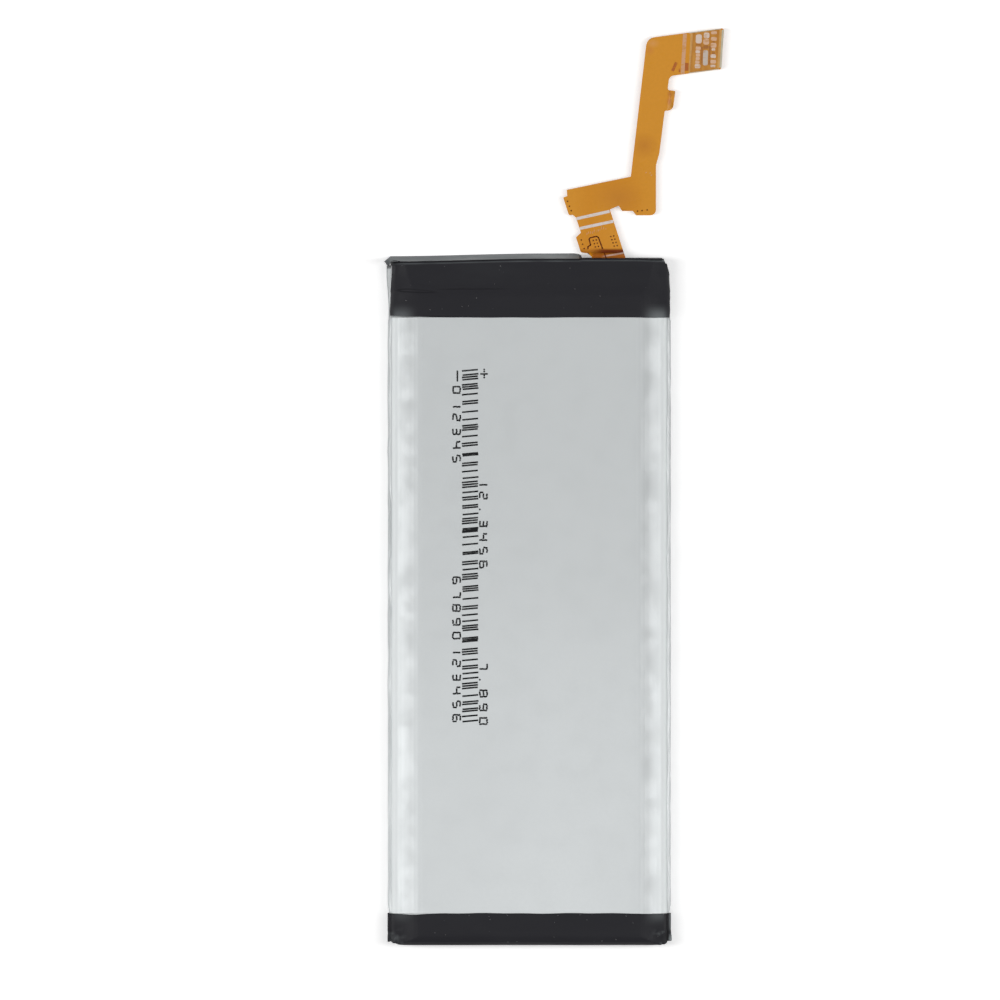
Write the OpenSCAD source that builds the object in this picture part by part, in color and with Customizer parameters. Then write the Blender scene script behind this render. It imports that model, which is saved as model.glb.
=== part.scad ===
// Slim lithium-polymer phone battery: a soft pouch cell lying on its back, black tape over both
// ends, and a stepped flexible circuit that leaves the taped bay with the protection board in it.
// Lengths are in millimetres. X runs across the cell, +Y points at the flexible circuit and +Z
// out of the printed face. The origin is the middle of the cell's back face.

/* [Cell] */
// Width of the pouch over its folded side seals
cell_w = 39; // [34:0.5:60]
// Length of the battery over both taped ends
cell_l = 95.2; // [80:0.2:130]
// Thickness of the pouch
cell_t = 4.4; // [4:0.1:8]
// Radius of the wide, flat part of each long front edge
crown_r = 6; // [3:0.5:7.5]
// Radius that finishes each long front edge down to the side
edge_r = 2.2; // [1:0.1:2.5]
// Radius along the back edges
back_r = 0.8; // [0.3:0.1:1]
// Radius of the front edge at the plain end
end_r = 1.4; // [0.6:0.1:2.4]
// Radius of the drawn cup's shoulder at the board end
shoulder_r = 1; // [0.4:0.1:2]
// Corner radius of the cell, seen from the front
corner_r = 1.2; // [0.5:0.1:3]
// Thickness of the side seal where it is folded up along the cup
seal_w = 0.4; // [0.2:0.05:0.8]
// Height of the folded side seal
seal_h = 1.8; // [1:0.1:2.2]
// Thickness of the flat end seal that the tabs come out of
terrace_t = 0.34; // [0.3:0.02:0.5]

/* [Tape] */
// Thickness of the black tape
tape_t = 0.1; // [0.06:0.01:0.2]
// Thickness of the adhesive under the tape, which the soft pouch gives way to
adhesive_t = 0.02; // [0.01:0.01:0.04]
// Length of the tape over the board end
top_tape_l = 8.6; // [6.8:0.1:20]
// Length of the tape over the plain end
bottom_tape_l = 4.3; // [2.5:0.1:20]
// How far the tape's end face leans out towards the back, left of the flexible circuit
end_lean = 0.83; // [0.6:0.01:1.2]
// The same lean to the right of the flexible circuit
right_lean = 0.55; // [0.3:0.01:0.6]
// How far the tape dips over the board bay, at its outer edge
bay_drop = 0.45; // [0.2:0.05:0.7]
// How far the loose corner of the end flap stands out on the left
flap_reach = 0.9; // [0.4:0.1:1.5]
// Clearance round the flexible circuit where it passes through the tape
slot_gap = 0.15; // [0.05:0.01:0.3]

/* [Protection board] */
// Width of the board, along Y
board_w = 3.1; // [3:0.1:5]
// Thickness of the board
board_t = 0.6; // [0.4:0.1:0.8]
// Distance between each end of the board and the side of the cup
board_inset = 1.6; // [0.6:0.1:3]
// Width of each cell tab
tab_w = 4; // [3:0.5:5]
// Thickness of each cell tab
tab_t = 0.1; // [0.06:0.01:0.14]
// Width of the sealing film round a tab
film_w = 6; // [5.2:0.1:7]
// Thickness of the sealing film, with the tab inside it
film_t = 0.2; // [0.18:0.01:0.24]
// Distance of the positive tab from the middle of the cell, on the left
positive_tab_x = 11.8; // [11:0.1:12.4]
// Distance of the negative tab from the middle of the cell, on the right
negative_tab_x = 1.6; // [0.5:0.1:4]
// Length of a weld plate, along X
plate_l = 4.4; // [4:0.1:5]
// Thickness of a weld plate
plate_t = 0.2; // [0.1:0.05:0.3]
// Length of the thermal fuse's body
fuse_l = 4.2; // [3:0.1:4.6]
// Height of the thermal fuse
fuse_h = 0.9; // [0.6:0.1:1.2]
// Height of the transistor pair, the tallest part under the board
mosfet_h = 0.75; // [0.5:0.05:0.9]
// Thickness of the insulating strip on the end seal
insulator_t = 0.08; // [0.04:0.01:0.12]

/* [Flexible circuit] */
// Thickness of the flexible circuit
flex_t = 0.15; // [0.1:0.01:0.2]
// Distance of the middle of its exit from the middle of the cell
exit_x = 10.95; // [10.2:0.05:12]
// Width of the neck that leaves the tape
neck_w = 4.8; // [4:0.1:5.2]
// Lean of the neck to the left, in degrees
neck_lean = 18; // [10:1:24]
// Distance from the taped end to the middle of the lower arm, along the neck
neck_l = 8.6; // [8:0.1:14]
// How far the lower arm starts to the left of the neck's middle
arm_reach = 2.65; // [2.4:0.05:5]
// Height of the lower arm
arm_h = 3.9; // [3:0.1:5]
// Rise of the lower arm to the right, in degrees
arm_rise = 11.5; // [6:0.5:16]
// Length of the lower arm, from its left end to the middle of the column
arm_l = 10.2; // [8:0.1:14]
// Width of the column at its foot
column_w = 3.4; // [2.8:0.1:4.5]
// How much wider the column is at its top
column_spread = 0.3; // [0:0.05:0.6]
// Lean of the column to the right, in degrees
column_lean = 7.6; // [0:0.2:12]
// Length of the column, from the lower arm's middle to the head's middle
column_l = 18.4; // [17.6:0.1:30]
// Height of the head that carries the connector
head_h = 5.6; // [5.4:0.1:7]
// Rise of the head to the right, in degrees
head_rise = 7.5; // [0:0.5:12]
// Length of the head, from the column's middle to its end
head_l = 8.8; // [8:0.1:14]
// How far the head's end leans over, from its lower to its upper corner
head_shear = 1.2; // [0:0.1:2]
// Radius of the two bends where the circuit steps down behind the tape
bend_r = 0.8; // [0.5:0.05:0.9]
// Slope of the circuit between those bends, in degrees
bend_slope = 65; // [45:1:66]

/* [Connector] */
// Length of the plug, across the head
plug_l = 4.9; // [4.2:0.1:5.2]
// Width of the plug
plug_w = 2.3; // [2:0.1:2.8]
// Height of the plug
plug_h = 0.8; // [0.6:0.05:1]
// Thickness of the plug's walls
plug_wall = 0.45; // [0.35:0.05:0.5]
// Distance from the end of the head to the middle of the plug
plug_inset = 2.15; // [1.8:0.05:3]
// Contacts along each side of the plug
contact_n = 4; // [3:1:5]
// Distance between neighbouring contacts
contact_pitch = 0.5; // [0.4:0.05:0.6]
// Thickness of the contact strip
contact_t = 0.06; // [0.04:0.01:0.1]
// Length of the stiffening plate on the head
stiffener_l = 4.3; // [3.5:0.1:5]
// Thickness of the stiffening plate
stiffener_t = 0.1; // [0.05:0.01:0.2]

/* [Hidden] */

// Clearance between pieces that lie next to each other in the bay
fit_gap = 0.3;
// Clearance where one flat piece lies over another with nothing between them
film_gap = 0.05;
// Overlap that joins two shapes of one solid
weld = 0.05;
// Longer than anything cut
far = 200;
// Steps in each quarter of a rounded edge
edge_steps = 6;

// The slope where a long edge's wide radius hands over to its tight one
crown_turn = 35;
crown_w = crown_r * sin(crown_turn) + edge_r * (1 - sin(crown_turn));
side_top = cell_t - crown_r * (1 - cos(crown_turn)) - edge_r * cos(crown_turn);
cup_half = cell_w / 2 - seal_w;

// Places along the cell: its two ends, and the board bay between the cup and the outer tape
top_y = cell_l / 2;
bottom_y = -cell_l / 2 + tape_t;
tab_room = 0.45;
edge_y = top_y - end_lean;
board_y1 = edge_y - tab_room;
board_y0 = board_y1 - board_w;
board_y = (board_y0 + board_y1) / 2;
board_l = 2 * (cup_half - board_inset);
cup_y = board_y0 - fit_gap;
shoulder_y = cup_y - shoulder_r;
top_tape_y = top_y - top_tape_l;
bottom_tape_y = bottom_y - tape_t + bottom_tape_l;
terrace_y = board_y1 - fit_gap;

// The folded seals run along both sides and end beside the bay
seal_z = 0.1;
seal_start = bottom_y + 0.9;
seal_end = board_y1 - 0.1;
seal_round = 0.15;

// The tabs reach into the end seal, bend up clear of the board's edge and lap their plates
tab_root = 1.5;
tab_inside_y = terrace_y - tab_root;
tab_clear = 0.15;
tab_back_y = board_y1 + tab_clear + tab_t;
tab_bend = 0.3;
plate_inset = 0.3;
tab_lap_y = board_y0 + 2 * plate_inset;
film_reach = 0.15;

// Heights of what is stacked in the bay
insulator_z = terrace_t;
part_gap = 0.13;
board_z = insulator_z + insulator_t + part_gap + mosfet_h;
board_top = board_z + board_t;
plate_top = board_top + plate_t;
tab_top = plate_top + tab_t;
spacer_z = tab_top + film_gap;
bay_front = cell_t - bay_drop - tape_t;
spacer_top = bay_front - 2 * film_gap;
film_z = (terrace_t - film_t) / 2;
tab_z = (terrace_t - tab_t) / 2;

// The circuit lies on the board, steps down outside the tape and lies level on its plug
neck_trim = 0.15;
tail_w = neck_w - neck_trim;
tail_half = tail_w / 2;
tail_start = board_y0 + 0.5;
tail_end = top_y - 0.2;
level_z = plug_h - tape_t;
level_top = level_z + flex_t;
step_down = board_top - level_z;
bend_rise = bend_r * (1 - cos(bend_slope));
slope_l = max(0, (step_down - 2 * bend_rise) / sin(bend_slope));
bend_setback = 0.6;
bend_start = top_y - bend_setback;
bend_mid = bend_start + bend_r * sin(bend_slope) + slope_l * cos(bend_slope);
bend_end = bend_mid + bend_r * sin(bend_slope);
split_gap = 1.4;
split_x = exit_x - tail_half - split_gap;

// The four strips of the circuit, each with a starting point and a direction of its own
exit_point = [exit_x - 0.2, tail_end];
function strip_point(start, angle, along, left) =
    start + along * [cos(angle), sin(angle)] + left * [-sin(angle), cos(angle)];
neck_angle = 90 + neck_lean;
column_angle = 90 - column_lean;
arm_start = strip_point(exit_point, neck_angle, neck_l, arm_reach);
column_start = strip_point(arm_start, arm_rise, arm_l, 0);
head_start = strip_point(column_start, column_angle, column_l, 0);
function neck(along, left) = strip_point(exit_point, neck_angle, along, left);
function arm(along, left) = strip_point(arm_start, arm_rise, along, left);
function column(along, left) = strip_point(column_start, column_angle, along, left);
function head(along, left) = strip_point(head_start, head_rise, along, left);

// Where two straight edges meet, each given by two points
function meet(a, b, c, d) =
    a + (b - a) * cross(c - a, d - c) / cross(b - a, d - c);

// An arc as points, and an outline whose corners [x, y, radius] are rounded
function arc(centre, r, from, to, steps) =
    [for (i = [0:steps]) centre + r * [cos(from + (to - from) * i / steps),
        sin(from + (to - from) * i / steps)]];
function unit(v) = v / norm(v);
function half_turn(a) = a > 180 ? a - 360 : a < -180 ? a + 360 : a;
function fillet(before, at, after, r) =
    let (a = unit(before - at), b = unit(after - at), half = acos(a * b) / 2)
    let (centre = at + unit(a + b) * r / sin(half))
    let (start = at + a * r / tan(half) - centre, end = at + b * r / tan(half) - centre)
    let (from = atan2(start.y, start.x), turn = half_turn(atan2(end.y, end.x) - from))
    arc(centre, r, from, from + turn, 4);
function flat(p) = [p.x, p.y];
function rounded(corners) =
    let (n = len(corners))
    [for (i = [0:n - 1])
        each corners[i][2] > 0
            ? fillet(flat(corners[(i + n - 1) % n]), flat(corners[i]),
                flat(corners[(i + 1) % n]), corners[i][2])
            : [flat(corners[i])]];
function corner(p, r) = [p.x, p.y, r];

// A flat shape drawn in Y and Z, extruded along X
module along_x(x0, x1) {
    translate([x0, 0, 0]) rotate([90, 0, 90]) linear_extrude(height = x1 - x0) children();
}

// A flat shape drawn in X and Z, extruded along Y
module along_y(y0, y1) {
    translate([0, y1, 0]) rotate([90, 0, 0]) linear_extrude(height = y1 - y0) children();
}

module block(x0, x1, y0, y1, z0, z1) {
    translate([x0, y0, z0]) cube([x1 - x0, y1 - y0, z1 - z0]);
}

// A plate with rounded corners, centred on a point
module plate(x, y, l, w, z0, z1, r) {
    translate([x, y, z0]) linear_extrude(height = z1 - z0)
        polygon(rounded([[-l / 2, -w / 2, r], [l / 2, -w / 2, r],
            [l / 2, w / 2, r], [-l / 2, w / 2, r]]));
}

// Cross-section of the drawn cup: a flat back, short back edges and long, crowned front edges
function cup_side_points(grow) = concat(
    arc([cup_half - back_r, back_r], back_r + grow, -90, 0, edge_steps - 2),
    arc([cup_half - edge_r, side_top], edge_r + grow, 0, 90 - crown_turn, edge_steps),
    arc([cup_half - crown_w, cell_t - crown_r], crown_r + grow, 90 - crown_turn, 90, edge_steps));
function cup_section(grow) =
    let (right = cup_side_points(grow), n = len(right))
    concat(right, [for (i = [n - 1:-1:0]) [-right[i].x, right[i].y]]);

// Side view of the cup: rounded at the plain end, a shoulder down to the end seal at the other
function cup_profile(grow) = concat(
    [[cup_y + grow, -grow]],
    arc([cup_y - shoulder_r, cell_t - shoulder_r], shoulder_r + grow, 0, 90, edge_steps),
    arc([bottom_y + end_r, cell_t - end_r], end_r + grow, 90, 180, edge_steps),
    arc([bottom_y + back_r, back_r], back_r + grow, 180, 270, edge_steps - 2));

function cup_outline(grow) =
    let (w = cup_half + grow, r = corner_r + grow)
    rounded([[-w, bottom_y - grow, r], [w, bottom_y - grow, r],
        [w, cup_y + grow, r], [-w, cup_y + grow, r]]);

module cup(grow) {
    intersection() {
        along_y(bottom_y - grow, cup_y + grow) polygon(cup_section(grow));
        along_x(-cell_w, cell_w) polygon(cup_profile(grow));
        translate([0, 0, -cell_t]) linear_extrude(height = 3 * cell_t) polygon(cup_outline(grow));
    }
}

// The two side seals, folded up against the cup
module side_seals(grow) {
    low = seal_z - grow;
    high = seal_z + seal_h + grow;
    outer = cell_w / 2 + grow;
    r = seal_round + grow;
    for (side = [-1, 1])
        along_y(seal_start - grow, seal_end + grow)
            polygon(rounded([[side * (cup_half - weld), low, 0], [side * outer, low, r],
                [side * outer, high, r], [side * (cup_half - weld), high, 0]]));
}

// The flat end seal, as wide as the cup's back
module terrace() {
    intersection() {
        along_y(shoulder_y, terrace_y) polygon(cup_section(-adhesive_t));
        linear_extrude(height = terrace_t) polygon(bay_outline(-adhesive_t));
    }
}

// The sealed laminate pouch with the wound roll inside it. Under the tapes it is pressed in by
// the thickness of their adhesive.
module pouch_cell() {
    color([0.79, 0.81, 0.81]) difference() {
        union() {
            cup(-adhesive_t);
            intersection() {
                cup(0);
                block(-cell_w, cell_w, bottom_tape_y, top_tape_y, -1, 2 * cell_t);
            }
            terrace();
            side_seals(0);
        }
        film_block(-positive_tab_x);
        film_block(negative_tab_x);
    }
}

// Outline of the tab's loop in side view, with its outer face moved in by inset
function tab_loop(start_y, inset) = rounded([
    [start_y, tab_z + inset, 0], [tab_back_y - inset, tab_z + inset, tab_bend - inset],
    [tab_back_y - inset, tab_top - inset, tab_bend - inset], [start_y, tab_top - inset, 0]]);

// A tab comes out of the end seal, bends up past the board's edge and folds back over its plate
module tab(x) {
    difference() {
        along_x(x - tab_w / 2, x + tab_w / 2) polygon(tab_loop(tab_lap_y, 0));
        along_x(x - tab_w, x + tab_w) polygon(tab_loop(tab_lap_y - 1, tab_t));
        block(x - tab_w, x + tab_w, tab_lap_y - 1, tab_inside_y, tab_z - 1, board_z);
    }
}

module positive_tab() {
    color([0.82, 0.83, 0.84]) tab(-positive_tab_x);
}

module negative_tab() {
    color([0.72, 0.70, 0.66]) tab(negative_tab_x);
}

// The sealing film is welded into the end seal round the tab and shows just outside it
module film_block(x) {
    block(x - film_w / 2, x + film_w / 2, tab_inside_y, terrace_y + film_reach,
        film_z, film_z + film_t);
}

module film(x) {
    difference() {
        film_block(x);
        block(x - tab_w / 2, x + tab_w / 2, tab_inside_y - 1, terrace_y + 1, tab_z, tab_z + tab_t);
    }
}

module positive_tab_film() {
    color([0.92, 0.90, 0.82]) film(-positive_tab_x);
}

module negative_tab_film() {
    color([0.92, 0.90, 0.82]) film(negative_tab_x);
}

// The strip that keeps the parts under the board off the bare end seal
module terrace_insulator() {
    w = terrace_y - cup_y - 2 * fit_gap;
    color([0.85, 0.62, 0.18])
        plate(0, terrace_y - film_reach - w / 2, board_l + 1, w, insulator_z,
            insulator_z + insulator_t, 0.2);
}

// The board has a half-round snap-off notch in each end
module protection_board() {
    notch_r = 0.45;
    color([0.05, 0.18, 0.12]) difference() {
        plate(0, board_y, board_l, board_w, board_z, board_top, 0.3);
        for (side = [-1, 1])
            translate([side * board_l / 2, board_y, board_z - 1])
                cylinder(h = board_t + 2, r = notch_r, $fn = 32);
    }
}

module weld_plate(x) {
    plate(x, board_y, plate_l, board_w - 2 * plate_inset, board_top, plate_top, 0.3);
}

module positive_weld_plate() {
    color([0.75, 0.74, 0.71]) weld_plate(-positive_tab_x);
}

module negative_weld_plate() {
    color([0.75, 0.74, 0.71]) weld_plate(negative_tab_x);
}

// The thermal fuse lies beside the positive plate, with a flat lead out of each end
fuse_lead_l = 0.7;
fuse_lead_t = 0.1;
fuse_w = 2.4;
fuse_x = -positive_tab_x + plate_l / 2 + film_gap + fuse_lead_l + fuse_l / 2;
fuse_top = board_top + fuse_h;

module thermal_fuse() {
    half = fuse_l / 2;
    bevel = 0.2;
    color([0.10, 0.10, 0.11]) union() {
        translate([fuse_x, 0, 0]) along_y(board_y - fuse_w / 2, board_y + fuse_w / 2)
            polygon([[-half, board_top], [half, board_top], [half, fuse_top - bevel],
                [half - bevel, fuse_top], [bevel - half, fuse_top], [-half, fuse_top - bevel]]);
        plate(fuse_x, board_y, fuse_l + 2 * fuse_lead_l, fuse_w - 2 * plate_inset,
            board_top, board_top + fuse_lead_t, bevel);
    }
}

// A moulded chip under the board: its body, and a row of leads along both long sides
module package(x, l, w, h, leads) {
    lead_w = 0.25;
    lead_t = 0.15;
    pitch = l / leads;
    translate([x, board_y, board_z]) union() {
        translate([-l / 2, -w / 2, -h]) cube([l, w, h]);
        for (i = [0:leads - 1])
            translate([-l / 2 + pitch * (i + 0.5) - lead_w / 2, -w / 2 - lead_w, -lead_t])
                cube([lead_w, w + 2 * lead_w, lead_t]);
    }
}

// A small chip whose metal end caps stand a little proud of its body
module chip(x, y, l, w, h) {
    proud = 0.03;
    cap_l = 0.22 * l;
    translate([x, y, board_z]) union() {
        translate([-l / 2 + proud, -w / 2 + proud, -h + proud])
            cube([l - 2 * proud, w - 2 * proud, h - proud]);
        for (left = [-l / 2, l / 2 - cap_l])
            translate([left, -w / 2, -h]) cube([cap_l, w, h]);
    }
}

// The parts under the board stand in a row from left to right
part_space = 0.8;
mosfet_l = 3;
mosfet_x = -board_l / 2 + 3 + mosfet_l / 2;
ic_l = 2;
ic_x = mosfet_x + mosfet_l / 2 + ic_l / 2 + part_space;
sense_l = 2;
sense_w = 1.25;
sense_x = ic_x + ic_l / 2 + sense_l / 2 + part_space;
chip_h = 0.45;
capacitor_l = 1;
capacitor_w = 0.5;
capacitor_n = 4;
capacitor_x = sense_x + sense_l / 2 + capacitor_l / 2 + part_space;
capacitor_pitch = 1.5;
resistor_l = 0.6;
resistor_w = 0.3;
resistor_h = 0.25;
resistor_n = 6;
resistor_x = capacitor_x + capacitor_n * capacitor_pitch;
resistor_pitch = 1.2;
row_y = 0.6;
thermistor_x = resistor_x + resistor_n * resistor_pitch / 2 + part_space;

module mosfet_pair() {
    color([0.09, 0.09, 0.10]) package(mosfet_x, mosfet_l, 1.8, mosfet_h, 4);
}

module protection_ic() {
    color([0.09, 0.09, 0.10]) package(ic_x, ic_l, 1.6, mosfet_h - 0.2, 3);
}

module sense_resistor() {
    color([0.12, 0.12, 0.13]) chip(sense_x, board_y, sense_l, sense_w, chip_h);
}

module thermistor() {
    color([0.10, 0.22, 0.16])
        chip(thermistor_x, board_y, capacitor_l, capacitor_w, chip_h);
}

module chip_capacitors() {
    color([0.62, 0.48, 0.34])
        for (i = [0:capacitor_n - 1])
            chip(capacitor_x + i * capacitor_pitch, board_y + row_y * (i % 2 * 2 - 1),
                capacitor_l, capacitor_w, chip_h);
}

// Two rows of small resistors
module chip_resistors() {
    color([0.10, 0.10, 0.11])
        for (i = [0:resistor_n - 1])
            chip(resistor_x + floor(i / 2) * resistor_pitch, board_y + row_y * (i % 2 * 2 - 1),
                resistor_l, resistor_w, resistor_h);
}

// The foam strip that holds the tape level over the board, with a pocket for the thermal fuse
module board_spacer() {
    half = board_l / 2 - 0.5;
    pocket = fuse_l / 2 + fit_gap;
    color([0.20, 0.20, 0.21]) difference() {
        block(-half, half, board_y0 + 0.1, board_y1 - 0.1, spacer_z, spacer_top);
        block(fuse_x - pocket, fuse_x + pocket, board_y0 - 1, board_y1 + 1,
            spacer_z - 1, fuse_top + film_gap);
    }
}

// The circuit's outline. Each strip's edges lie either side of its middle line; the heel under
// the column is square to the cell, and small tabs stand out from the edges.
heel_right = 1.95;
heel_left = -0.8;
heel_drop = -3.65;
heel_top = 2.8;
toe_left = -2.75;
toe_drop = -3.05;
toe_top = -2.3;
toe_slope = 0.45;
neck_half = neck_w / 2;
neck_right_l = 6.1;
neck_left_l = 6.5;
neck_tab_start = 1.5;
neck_tab_end = 4.1;
neck_tab_w = 0.85;
arm_top = arm_h / 2;
arm_tab_top = 1.1;
arm_tab_low = -1.6;
arm_tab_w = 0.6;
column_left = column_w / 2 - 0.1;
column_right = -column_w / 2;
column_bulge = 0.1;
side_tab_start = 10.4;
side_tab_l = 2.9;
side_tab_w = 1.1;
head_low = -head_h / 2;
head_high = head_h / 2;
head_end_low = head_l - head_shear / 2;
head_end_high = head_l + head_shear / 2;
end_low = head(head_end_low, head_low);
end_high = head(head_end_high, head_high);
column_foot = column(0, column_left);
column_top = column(column_l, column_left + column_spread);
head_inner = meet(column(0, column_right), column(column_l, column_right),
    head(0, head_low), end_low);
head_outer = meet(column_foot, column_top, head(0, head_high), end_high);
arm_inner = meet(column_foot, column_top, arm(0, arm_top), arm(arm_l, arm_top));

// Corner radii of the outline: nicks, ordinary corners, the tabs' corners and the large ones
nick_r = 0.1;
step_r = 0.2;
tab_r = 0.3;
turn_r = 0.8;
shoulder_turn_r = 1.3;

// The outline runs from the tail, up the right-hand edges to the head and back down the left
flex_outline = [
    [exit_x + tail_half, tail_start, 0],
    [exit_x + tail_half, tail_end, 0],
    corner(neck(neck_right_l, -neck_half), nick_r),
    corner(column_start + [toe_left - toe_slope, toe_top], nick_r),
    corner(column_start + [toe_left, toe_drop], nick_r),
    corner(column_start + [heel_left - toe_slope, toe_drop], nick_r),
    corner(column_start + [heel_left, heel_drop], step_r),
    corner(column_start + [heel_right, heel_drop], 2 * step_r),
    corner(column_start + [heel_right, heel_top], turn_r),
    corner(column(heel_top + 2, column_right - column_bulge), turn_r),
    corner(column(side_tab_start, column_right), step_r),
    corner(column(side_tab_start + step_r, column_right - side_tab_w), turn_r),
    corner(column(side_tab_start + side_tab_l, column_right - side_tab_w), nick_r),
    corner(column(side_tab_start + side_tab_l, column_right), tab_r),
    corner(head_inner, turn_r),
    corner(end_low, step_r),
    corner(end_high, tab_r),
    corner(head_outer, shoulder_turn_r),
    corner(arm_inner, nick_r),
    corner(arm(0, arm_top), nick_r),
    corner(arm(-nick_r, arm_tab_top), 0),
    corner(arm(-arm_tab_w - nick_r, arm_tab_top - nick_r), nick_r),
    corner(arm(-arm_tab_w + step_r, arm_tab_low), tab_r),
    corner(arm(nick_r, arm_tab_low), nick_r),
    corner(neck(neck_left_l, neck_half), 0),
    corner(neck(neck_tab_end + step_r, neck_half), nick_r),
    corner(neck(neck_tab_end - step_r, neck_half + neck_tab_w), nick_r),
    corner(neck(neck_tab_start + step_r, neck_half + neck_tab_w), tab_r),
    corner(neck(neck_tab_start - step_r, neck_half), 0),
    [exit_x - tail_half, tail_end, 0],
    [exit_x - tail_half, tail_start, 0]];

// One face of the circuit in side view; lift is its height over the underside
function flex_side(lift) = concat(
    [[tail_start, board_top + lift]],
    arc([bend_start, board_top - bend_r], bend_r + lift, 90, 90 - bend_slope, edge_steps),
    arc([bend_end, level_z + bend_r], bend_r - lift, 270 - bend_slope, 270, edge_steps),
    [[top_y + far, level_z + lift]]);

function reversed(list) = [for (i = [len(list) - 1:-1:0]) list[i]];

module flex_circuit() {
    color([0.79, 0.54, 0.18]) intersection() {
        translate([0, 0, -1]) linear_extrude(height = cell_t + 2) polygon(rounded(flex_outline));
        along_x(-far, far) polygon(concat(flex_side(0), reversed(flex_side(flex_t))));
    }
}

// The plate on top of the head, over the connector
module flex_stiffener() {
    inset = 0.12;
    low = head_low + inset;
    high = head_high - inset;
    color([0.84, 0.62, 0.30]) translate([0, 0, level_top]) linear_extrude(height = stiffener_t)
        polygon(rounded([corner(head(head_end_low - stiffener_l, low), 0),
            corner(head(head_end_low - inset, low), step_r),
            corner(head(head_end_high - inset, high), tab_r),
            corner(head(head_end_high - stiffener_l, high), 0)]));
}

// The plug stands under the head in line with its end. Its own frame has +Y along its length.
plug_point = head(head_l - plug_inset, 0);
plug_turn = head_rise - atan2(head_shear, head_h);
plug_base = 0.25;
plug_low = -tape_t + contact_t;
foot_t = 0.08;

module at_plug() {
    translate([plug_point.x, plug_point.y, 0]) rotate([0, 0, plug_turn]) children();
}

module connector_housing() {
    color([0.12, 0.12, 0.13]) at_plug() difference() {
        plate(0, 0, plug_w, plug_l, plug_low, level_z, 0.2);
        block(plug_wall - plug_w / 2, plug_w / 2 - plug_wall, plug_wall - plug_l / 2,
            plug_l / 2 - plug_wall, plug_low - 1, level_z - plug_base);
    }
}

// A contact wraps one wall: a leg inside, over the wall's tip, a leg outside and a soldered foot
function contact_section(foot_l) = [
    [-plug_wall - contact_t, level_z - plug_base], [-plug_wall, level_z - plug_base],
    [-plug_wall, plug_low], [0, plug_low], [0, level_z], [foot_l, level_z],
    [foot_l, level_z - foot_t], [contact_t, level_z - foot_t], [contact_t, plug_low - contact_t],
    [-plug_wall - contact_t, plug_low - contact_t]];

module contact(width, foot_l) {
    along_y(-width / 2, width / 2) polygon(contact_section(foot_l));
}

signal_w = 0.2;
signal_foot = 0.3;
power_w = 1.1;
power_foot = 0.15;

module signal_contacts() {
    color([0.85, 0.68, 0.30]) at_plug()
        for (i = [0:contact_n - 1])
            for (side = [0, 180])
                rotate([0, 0, side])
                    translate([plug_w / 2, (i - (contact_n - 1) / 2) * contact_pitch, 0])
                        contact(signal_w, signal_foot);
}

module power_contacts() {
    color([0.85, 0.68, 0.30]) at_plug()
        for (side = [90, 270])
            rotate([0, 0, side]) translate([plug_l / 2, 0, 0]) contact(power_w, power_foot);
}

// The tape over the bay bridges from the cup's shoulder to an end face that leans outwards
bridge_l = 0.7;
bridge_y = cup_y + bridge_l;
bridge_drop = 0.25;
function bay_profile(lean, inset) = [
    [shoulder_y, inset - tape_t], [shoulder_y, cell_t + tape_t - inset],
    [bridge_y, cell_t + tape_t - bridge_drop - inset],
    [edge_y - inset, cell_t - bay_drop - inset], [edge_y + lean - inset, inset - tape_t]];

// Seen from the front, the bay's right-hand corner tapers and is then cut off
corner_taper = 0.4;
corner_cut = 0.6;
corner_start = 2.8;
corner_turn = 1.2;
function bay_outline(grow) =
    let (w = cup_half + grow)
    [[-w, shoulder_y], [w, shoulder_y], [w, top_y - corner_start],
        [w - corner_taper, top_y - corner_turn],
        [w - corner_taper - 2 * corner_cut, top_y + corner_turn], [-w, top_y + corner_turn]];

module bay(inset, left_end) {
    intersection() {
        along_y(shoulder_y, top_y) polygon(cup_section(tape_t - inset));
        translate([0, 0, -1]) linear_extrude(height = cell_t + 2)
            polygon(bay_outline(tape_t - inset));
        union() {
            along_x(-cell_w, cell_w) polygon(bay_profile(right_lean, inset));
            along_x(-cell_w, left_end) polygon(bay_profile(end_lean, inset));
        }
    }
}

// The loose corner of the end flap, pointed where the tape was cut
module flap_corner() {
    tip = cup_half + tape_t + flap_reach;
    root = cup_half - 1;
    intersection() {
        along_x(-tip, -root) polygon([[edge_y - tape_t, bay_front], [edge_y, bay_front],
            [top_y, -tape_t], [top_y - 1.2 * tape_t, -tape_t]]);
        translate([0, 0, -1]) linear_extrude(height = cell_t + 2)
            polygon([[-tip, edge_y], [-root, edge_y - tape_t], [-root, top_y],
                [-cup_half - tape_t, top_y]]);
    }
}

module top_tape() {
    color([0.15, 0.16, 0.17]) difference() {
        union() {
            intersection() {
                cup(tape_t);
                block(-cell_w, cell_w, top_tape_y, shoulder_y, -1, 2 * cell_t);
            }
            bay(0, split_x);
            flap_corner();
        }
        bay(tape_t, split_x - tape_t);
        cup(0);
        side_seals(adhesive_t);
        block(exit_x - tail_half - slot_gap, exit_x + tail_half + slot_gap,
            board_y1, top_y + 1, board_top - slot_gap, board_top + flex_t + slot_gap);
    }
}

module bottom_tape() {
    color([0.15, 0.16, 0.17]) difference() {
        intersection() {
            union() {
                cup(tape_t);
                side_seals(tape_t);
            }
            block(-cell_w, cell_w, -cell_l, bottom_tape_y, -1, 2 * cell_t);
        }
        cup(0);
        side_seals(adhesive_t);
    }
}

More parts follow.
